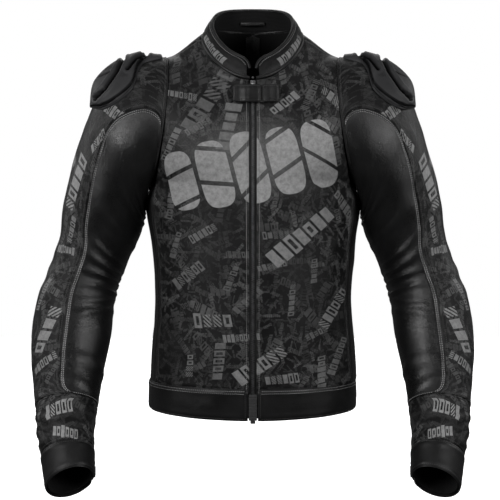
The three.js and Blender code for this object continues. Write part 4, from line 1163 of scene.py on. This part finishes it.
def slider_parts(tag, body, node, origin, across, up, out, width, height, low, high):
    """A slider: a wedge-shaped plate, its flanges, and the bridge that carries the pull."""
    place = (origin, across, up, out)
    plate = prism(f"{tag}_plate", round_outline(width, height, 2.0, waist=0.28), low, high, 0.35, place,
                  M_ZIP)
    on_body(plate, body, node)
    for k, s in (("a", 1), ("b", -1)):
        rail = prism(f"{tag}_flange_{k}", round_outline(0.9, height * 0.8, 0.4, 3), low, high - 0.2, 0.2,
                     (origin + across * s * width * 0.36, across, up, out), M_ZIP)
        on_body(rail, body)
    turn = np.linspace(0, math.pi, 13)
    rise = (high - low) * 0.9
    path = origin + up * (height * 0.36 * np.cos(turn))[:, None] + out * (high + rise * np.sin(turn))[:, None]
    bridge = sweep(f"{tag}_bridge", path, across + 0 * path, rounded_profile(0.8, 2.2, 2.6, 10), M_ZIP)
    on_body(bridge, body)


p, out, up = zip_frame(-46.0)
slider_parts("main_slider", "main_zip_slider", "main_zip_slider", p, X_AXIS, up, out, 9, 13, 0.5, 2.3)
p, out, up = zip_frame(-56.0)
for k in range(4):
    grip = prism(f"main_pull_grip_{k}", round_outline(4.2, 0.8, 0.35, 3), 3.9, 4.25, 0.12,
                 (p - up * (2.0 + 2.4 * k), X_AXIS, up, out), M_ZIP)
    on_body(grip, "main_zip_pull")
p, out, up = zip_frame(-578.8)
box = prism("zip_end_box_metal", round_outline(8, 9, 1.2), -3.4, 0.4, 0.5, (p, X_AXIS, up, out),
            M_ZIP)
on_body(box, "jacket_body", "zip_end_box")


def tab_piece(name, x0, x1, node, body, groove):
    u, v = grid(lines(x1 - x0, 2.0), lines(28, 2.0))
    x = mix(x0, x1, u)
    corner = np.clip((x0 + 5 - x) / 5, 0, 1) if groove else 0 * x
    half = 14 - 3.2 * corner ** 2.2
    z = -60 + (v * 2 - 1) * half
    lift = 1.2 + 6.3 * np.exp(-((x / 17) ** 4)) + 0.0022 * x * x
    p = vec(x, zip_y(z) - lift, z)
    relief = 0.5 * np.sin(math.pi * u) * np.sin(math.pi * v) + noise(p, 12, 51) * 0.35
    if groove:
        relief = relief - 0.9 * np.exp(-((x + 8.3) / 1.0) ** 2)
    tab = Panel(name, p, M_BLACK, "black_leather", relief, away=(0, 500, -60), lift=2.3, thick=2.3,
                strength=0.8)
    on_body(tab.obj, body, node)
    return tab


tab = tab_piece("neck_tab_strap", -31, 13, "neck_tab", "neck_tab", True)
anchor = tab_piece("neck_tab_anchor_strap", 13.6, 41, "neck_tab_anchor", "jacket_body", False)
tab_threads = [tab.path(edge, 2.6, (3, 3)) for edge in "ltb"]
body_threads += [anchor.path(edge, 2.6, (2.6, 2.6)) for edge in "lrtb"]
on_body(stitch_mesh("neck_tab_stitches", tab_threads, M_THREAD_DARK, 2.6, 1.9, 0.32), "neck_tab")
p, out, up = zip_frame(-44.0)
stud = prism("collar_end_rivet", round_outline(3.4, 3.4, 1.6, 6), 2.0, 4.2, 0.6,
             (p + up * 8.5, X_AXIS, up, out), M_ZIP)
on_body(stud, "jacket_body")

on_body(stitch_mesh("body_seam_stitches", body_threads, M_THREAD_DARK), "jacket_body")
on_body(stitch_mesh("body_top_stitches", body_stitches, M_THREAD), "jacket_body")


# ---- pads ---------------------------------------------------------------------------------------
def pad_piece(name, p, outer, inner, node, body, away=None, channel=26.0):
    """A moulded pad: rounded thin edges, with channels pressed between its blocks."""
    n = grid_normals(p, away)
    left, right, top, bottom = spans(p)
    edge = np.minimum(np.minimum(left, right), np.minimum(top, bottom))
    swell = 0.3 + 0.7 * np.sqrt(np.clip(1 - (1 - np.clip(edge / 14, 0, 1)) ** 2, 0, 1))
    middle, half = (outer + inner) / 2, (outer - inner) / 2 - 0.3
    cell = np.minimum(np.abs((left % channel) - channel / 2), np.abs((top % channel) - channel / 2))
    groove = 1.6 * np.exp(-(cell / 1.8) ** 2) * smooth(5, 12, edge)
    a = p + n * (middle + half * swell - groove)[..., None]
    b = p + n * (middle - half * swell + groove * 0.6)[..., None]
    verts, faces = slab_faces(p.shape[0], p.shape[1], a, b)
    uv = np.concatenate([np.stack([left, -top], -1).reshape(-1, 2)] * 2)
    pad = make(name, verts, faces, M_FOAM, uv)
    mask(pad, "textured", np.ones(len(verts)))
    on_body(pad, body, node)
    return pad


u, v = grid(np.linspace(-0.42, 0.42, 70), np.linspace(0.3, 0.86, 130))
p = back_surface(u, v)
p = p + grid_normals(p, CHEST) * np.minimum(body_relief(p), 0)[..., None] * 0.5
pad_piece("back_protector_foam", p, -6.8, -15.6, "back_protector", "jacket_body", CHEST)
u, v = grid(np.linspace(125, 235, 160), np.linspace(-541, -552, 8))
p = section(np.radians(u), v)
track = Panel("connection_zip_tape", p, M_TAPE, "zip_tape", 0.35 * np.sin(np.radians(u) * 160 / 1.4) *
              np.exp(-((v + 546.5) / 2.0) ** 2), away=(0, 2, -546), lift=-4.2, thick=1.8, seams="")
on_body(track.obj, "jacket_body", "connection_zip")


# ---- arms ---------------------------------------------------------------------------------------
CUP_START, CUP_END = 3, 90
CUP_HALF = [[3, 15], [12, 16], [20, 20], [26, 32], [30, 44], [34, 51], [45, 55], [57, 54.5], [66, 51], [74, 45],
            [82, 33], [87, 22], [90, 11]]   # distance along the arm, half width in degrees
GROOVE_A = [(213, 14), (211, -2), (218, -22), (224, -32), (236, -50), (253, -66)]    # |x|, z of the long slot
GROOVE_B = [(171, 18), (175, 8), (188, 0), (200, -18)]                               # and of the short one
WEDGE_SLOT = [(252, -30), (231, -23)]


def away_from(p, line):
    """Distance in the front plane from a polyline of (|x|, z)."""
    q = np.stack([np.abs(p[..., 0]), p[..., 2]], -1)
    best = np.full(q.shape[:-1], 1e9)
    for a, b in zip(line[:-1], line[1:]):
        a, b = np.array(a, float), np.array(b, float)
        k = np.clip(((q - a) @ (b - a)) / ((b - a) @ (b - a)), 0, 1)[..., None]
        best = np.minimum(best, np.linalg.norm(q - a - (b - a) * k, axis=-1))
    return best


def ring_lines(count):
    return np.arange(count) * 360 / count


for name, side in SIDES.items():
    upper, fore = f"{name}_upper_arm", f"{name}_forearm"
    seed = 61 if side > 0 else 67
    threads, dark_threads, wrist_threads = [], [], []

    def sleeve_piece(piece, deg, t, look, slot, print_from_front=False, **options):
        p = sleeve(t, deg)
        relief = sleeve_relief(t, deg % 360, p, seed)
        across = spans(p)[0]
        if print_from_front:
            rows = [np.interp(f, d, a) for f, d, a in zip(through(PANEL_FRONT, t[:, 0]), deg, across)]
            across = across - np.array(rows)[:, None]
        return Panel(f"{piece}_{name}", flip_x(p, side), look, slot, relief, uv=np.stack([across, -t], -1),
                     **options)

    t_lines = mix(0.5, PANEL_END, lines(490, 5.0))
    inset = 0.18            # degrees each panel keeps from its seam
    u, t = grid(lines(225, 4.5), t_lines)
    edge = through(PANEL_FRONT, t)
    outer = sleeve_piece("sleeve_outer_leather", mix(PANEL_BACK - 360 + inset, edge - inset, u), t, M_SLEEVE,
                         "printed_leather", True, soften={"t": 0.25})
    bend_at_elbow(outer.obj, name, side, f"upper_sleeve_outer_{name}", f"forearm_outer_{name}",
                  f"elbow_section_{name}")
    u, t = grid(lines(190, 4.5), t_lines)
    edge = through(PANEL_FRONT, t)
    inner = sleeve_piece("sleeve_inner_stretch", mix(edge + inset, PANEL_BACK - inset, u), t, M_STRETCH,
                         "black_stretch_leather")
    bend_at_elbow(inner.obj, name, side, f"upper_sleeve_inner_{name}", f"forearm_inner_{name}")
    threads += [inner.path("l", 3.6, (8, 6)), inner.path("l", 6.8, (8, 8)), inner.path("b", 4.0, (5, 5))]
    dark_threads += [inner.path("r", 3.8, (8, 6)), outer.path("r", 3.8, (8, 6)), outer.path("t", 4, (4, 4)),
                     inner.path("t", 4, (4, 4)), outer.path("b", 4.0, (5, 5))]
    start, stop = CUFF_ZIP_ANGLE + 4.5 - 360, CUFF_ZIP_ANGLE - 4.5
    u, t = grid(lines(300, 4.0), mix(PANEL_END + 0.3, CUFF_AT - 0.3, lines(68, 3.0)))
    wrist = sleeve_piece("wrist_panel_leather", mix(start + inset, stop - inset, u), t, M_SLEEVE,
                         "printed_leather", True)
    on_body(wrist.obj, fore, f"wrist_panel_{name}")
    wrist_threads += [wrist.path("b", 4.0, (5, 5)), wrist.path("l", 3.8, (4, 4)), wrist.path("r", 3.8, (4, 4))]
    u, t = grid(lines(270, 4.0), mix(CUFF_AT, RIM_AT, lines(40, 2.5)))
    cuff = sleeve_piece("cuff_leather", mix(start + inset, stop - inset, u), t, M_BLACK, "black_leather",
                        lift=0.9, thick=2.9)
    on_body(cuff.obj, fore, f"cuff_{name}")
    wrist_threads += [cuff.path("t", 3.8, (4, 4)), cuff.path("b", 4.0, (4, 4))]
    # lining tube
    deg, t = grid(ring_lines(60), np.linspace(30, RIM_AT - 3, 110))
    p = sleeve(t, deg)
    lining = Panel(f"sleeve_lining_mesh_{name}", flip_x(p, side), M_MESH, "mesh_lining",
                   sleeve_relief(t, deg, p, seed) * 0.9, "", thick=1.0, lift=-3.7, wrap=True)
    bend_at_elbow(lining.obj, name, side, f"forearm_lining_{name}")

    # cuff zip
    t = np.arange(PANEL_END + 5, RIM_AT - 2, 2.5)
    strip = flip_x(sleeve(*np.meshgrid(t, [CUFF_ZIP_ANGLE - 1, CUFF_ZIP_ANGLE, CUFF_ZIP_ANGLE + 1],
                                       indexing="ij")), side)
    out = grid_normals(strip, strip.mean((0, 1)) + np.array([side * 30.0, 0, 20.0]))[:, 1]
    if (out[:, 0] * side).mean() > 0:
        out = -out
    p = strip[:, 1]
    up = unit(-np.gradient(p, axis=0))
    across = unit(np.cross(up, out))
    for k, s in (("a", 1), ("b", -1)):
        row = teeth_mesh(f"cuff_zip_teeth_{name}_{k}", p - up * (0.62 if s < 0 else -0.62), out, up, across,
                         M_ZIP, (1.9, 0.6, 0.5, -1.9, -0.1), s)
        on_body(row, fore)
        if s > 0:
            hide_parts(f"cuff_zip_teeth_{name}")
    width = np.linspace(-5.2, 5.2, 7)
    bed = p[:, None] + across[:, None] * width[None, :, None]
    tape = Panel(f"cuff_zip_tape_{name}", bed, M_TAPE, "zip_tape", away=(side * 280, -100, -560), lift=-2.1,
                 thick=0.8, seams="")
    on_body(tape.obj, fore)
    index = int(np.argmin(np.abs(t - 572)))
    slider_parts(f"cuff_slider_{name}", f"{name}_cuff_zip_slider", f"cuff_zip_slider_{name}", p[index],
                 across[index], up[index], out[index], 6.4, 9, 1.6, 3.0)

    # armhole welt
    angle = np.linspace(0, 360, 121)[:-1]
    path = flip_x(armhole_point(angle, -0.6, ARM_RADIUS - 1.2), side)
    radial = flip_x(arm_radial(angle), side)
    welt = sweep(f"armhole_welt_piping_{name}", path, radial, rounded_profile(2.6, 3.0, 2.2, 12), M_WELT,
                 closed=True)
    on_body(welt, "jacket_body", f"armhole_welt_{name}")

    # shoulder cup
    u, t = grid(np.linspace(-1, 1, 130), np.linspace(CUP_START, CUP_END, 120))
    p = sleeve(t, u * through(CUP_HALF, t))
    n = grid_normals(p)
    rise = 13 * np.clip(1 - u * u, 0, 1) ** 0.62 * smooth(-11, 25, t) * (1 - smooth(64, 94, t))
    left, right, top, bottom = spans(p)
    rim = np.minimum(np.minimum(left, right), np.minimum(top, bottom))
    placed = p + n * (4 + rise)[..., None]
    cut_a, cut_b = away_from(placed, GROOVE_A), away_from(placed, GROOVE_B)
    cut_c = away_from(placed, WEDGE_SLOT)
    depth = (5.6 * (1 - smooth(3.4, 4.7, cut_a)) + 4.8 * (1 - smooth(3.2, 4.5, cut_b))
             + 3.6 * (1 - smooth(1.5, 2.8, cut_c)) + 2.4 * (1 - smooth(18.5, 20, t)))
    swollen = 1.3 * np.exp(-((cut_a - 7.5) / 2.2) ** 2) + 0.9 * np.exp(-((cut_b - 7) / 2.2) ** 2)
    welts = 2.4 + 2.2 * np.exp(-((rim - 5.8) / 1.1) ** 2) + 1.9 * np.exp(-((rim - 2.1) / 1.1) ** 2)
    flange = (1 - smooth(7.6, 9.2, rim)) * smooth(12, 22, t)
    height = np.maximum(mix(4 + rise + swollen - depth, welts, flange), 1.9)
    verts, faces = slab_faces(p.shape[0], p.shape[1], flip_x(p + n * height[..., None], side),
                              flip_x(p + n * 1.4, side))
    uv = np.concatenate([np.stack([left, -top], -1).reshape(-1, 2)] * 2)
    cup = make(f"shoulder_cup_shell_{name}", verts, faces, M_CUP, uv, 50)
    x, z = np.abs(placed[..., 0]), placed[..., 2]
    insert = (smooth(9, 10, cut_a) * smooth(9, 10, cut_b) * smooth(197, 200, x) * (1 - smooth(228, 231, x))
              * smooth(-34, -31, z) + smooth(9, 10, cut_a) * smooth(4, 5, cut_c) * smooth(226, 228, x)
              * smooth(-26, -24, z) * smooth(11, 12, rim))
    mask(cup, "textured", np.concatenate([np.clip(insert, 0, 1).ravel(), np.zeros(p[..., 0].size)]))
    # painted shade for the cup: darker colour in its grooves and slot, and in the valleys beside the welts
    # along its rim
    painted_groove_shade = np.maximum(np.maximum(1 - smooth(3.2, 4.6, cut_a), 1 - smooth(3.0, 4.4, cut_b)),
                        1 - smooth(1.4, 2.7, cut_c)) * (1 - flange)
    painted_rim_shade = np.exp(-((rim - 3.9) / 0.9) ** 2) + np.exp(-((rim - 8.2) / 1.3) ** 2)
    painted_groove_shade = np.maximum(painted_groove_shade, painted_rim_shade * smooth(12, 22, t))
    mask(cup, "painted_groove_shade", np.concatenate([np.clip(painted_groove_shade, 0, 1).ravel(), np.zeros(p[..., 0].size)]))
    on_body(cup, upper, f"shoulder_cup_{name}")

    # pads
    for piece, body, span, count, middle, half, outer_at, inner_at in (
            ("shoulder", upper, (22, 98), 56, 0, 46, -5.7, -13),
            ("elbow", fore, (307, 433), 80, 306, 44, -7.2, -14)):
        u, t = grid(np.linspace(-1, 1, 60), np.linspace(*span, count))
        deg = middle + u * half
        p = sleeve(t, deg)
        dents = np.minimum(sleeve_relief(t, deg % 360, p, seed), 0)
        pad_piece(f"{piece}_pad_foam_{name}", flip_x(p + grid_normals(p) * dents[..., None], side), outer_at,
                  inner_at, f"{piece}_pad_{name}", body, channel=19.0)

    bend_at_elbow(stitch_mesh(f"sleeve_top_stitches_{name}", threads, M_THREAD, 3.6, 2.6, 0.6), name, side)
    bend_at_elbow(stitch_mesh(f"sleeve_seam_stitches_{name}", dark_threads, M_THREAD_DARK), name, side)
    on_body(stitch_mesh(f"cuff_stitches_{name}", wrist_threads, M_THREAD_DARK), fore)

# the zip pulls keep their CAD shape
for node in ("main_zip_pull", "cuff_zip_pull_left", "cuff_zip_pull_right"):
    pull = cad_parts[node]
    pull.data.materials.clear()
    pull.data.materials.append(M_ZIP)


# ---- studio ---------------------------------------------------------------------------------------
def studio():
    floor_mat = Look("floor_paint", "Object")
    shade = noise_tex(floor_mat.tree, floor_mat.where, 1.2, 2.0)
    floor_mat.wire(Base_Color=blend_colour(floor_mat.tree, shade, (0.86, 0.86, 0.86), (0.9, 0.9, 0.9)),
                   Roughness=0.9, Emission_Color=(1, 1, 1, 1), Emission_Strength=0.95)
    floor_mat.bsdf.inputs["Specular IOR Level"].default_value = 0.0
    mesh = bpy.data.meshes.new("floor")
    reach, level = 2.6, -0.80
    mesh.from_pydata([(-reach, -reach, level), (reach, -reach, level), (reach, reach, level),
                      (-reach, reach, level)], [], [(0, 1, 2, 3)])
    mesh.materials.append(floor_mat.mat)
    floor = bpy.data.objects.new("floor", mesh)
    bpy.context.scene.collection.objects.link(floor)
    floor.visible_diffuse = floor.visible_glossy = False
    world = bpy.data.worlds.new("studio")
    bpy.context.scene.world = world
    world.use_nodes = True
    tree = world.node_tree
    sky = tree.nodes["Background"].inputs
    seen = Num(tree, put(tree, "ShaderNodeLightPath").outputs["Is Camera Ray"])
    feed(tree, sky["Color"], (1, 1, 1, 1))
    feed(tree, sky["Strength"], seen.span(0, 1, 0.05, 1.0))     # white to look at, but it lights little
    lamps = (("key", (-1.9, -2.0, 0.5), 1.0, 60), ("fill", (2.0, -1.9, 0.35), 1.0, 44),
             ("rim_left", (-2.0, 0.9, 0.6), 1.0, 12), ("rim_right", (2.0, 0.9, 0.6), 1.0, 12),
             ("top", (0, -0.4, 2.2), 1.4, 9), ("back", (0, 2.6, 1.0), 1.8, 24))
    for name, place, size, power in lamps:
        lamp = bpy.data.lights.new(name, "AREA")
        lamp.shape, lamp.size, lamp.energy = "SQUARE", size, power
        obj = bpy.data.objects.new(name, lamp)
        bpy.context.scene.collection.objects.link(obj)
        obj.location = place
        obj.rotation_euler = aim(place, (0, 0, -0.3))


def aim(place, target):
    d = np.array(target, float) - np.array(place, float)
    return (math.atan2(math.hypot(d[0], d[1]), -d[2]), 0, math.atan2(-d[0], d[1]))


def camera():
    """The photo's view: level with the chest, slightly from above, through a long lens."""
    distance, elevation, centre = 2.4, math.radians(4), (-0.0045, 0, -0.3135)
    place = (centre[0], -distance * math.cos(elevation), centre[2] + distance * math.sin(elevation))
    data = bpy.data.cameras.new("camera")
    data.lens, data.sensor_width = 104.73, 36
    cam = bpy.data.objects.new("camera", data)
    bpy.context.scene.collection.objects.link(cam)
    cam.location, cam.rotation_euler = place, aim(place, centre)
    bpy.context.scene.camera = cam


studio()
camera()
bpy.context.scene.view_settings.view_transform = "Standard"
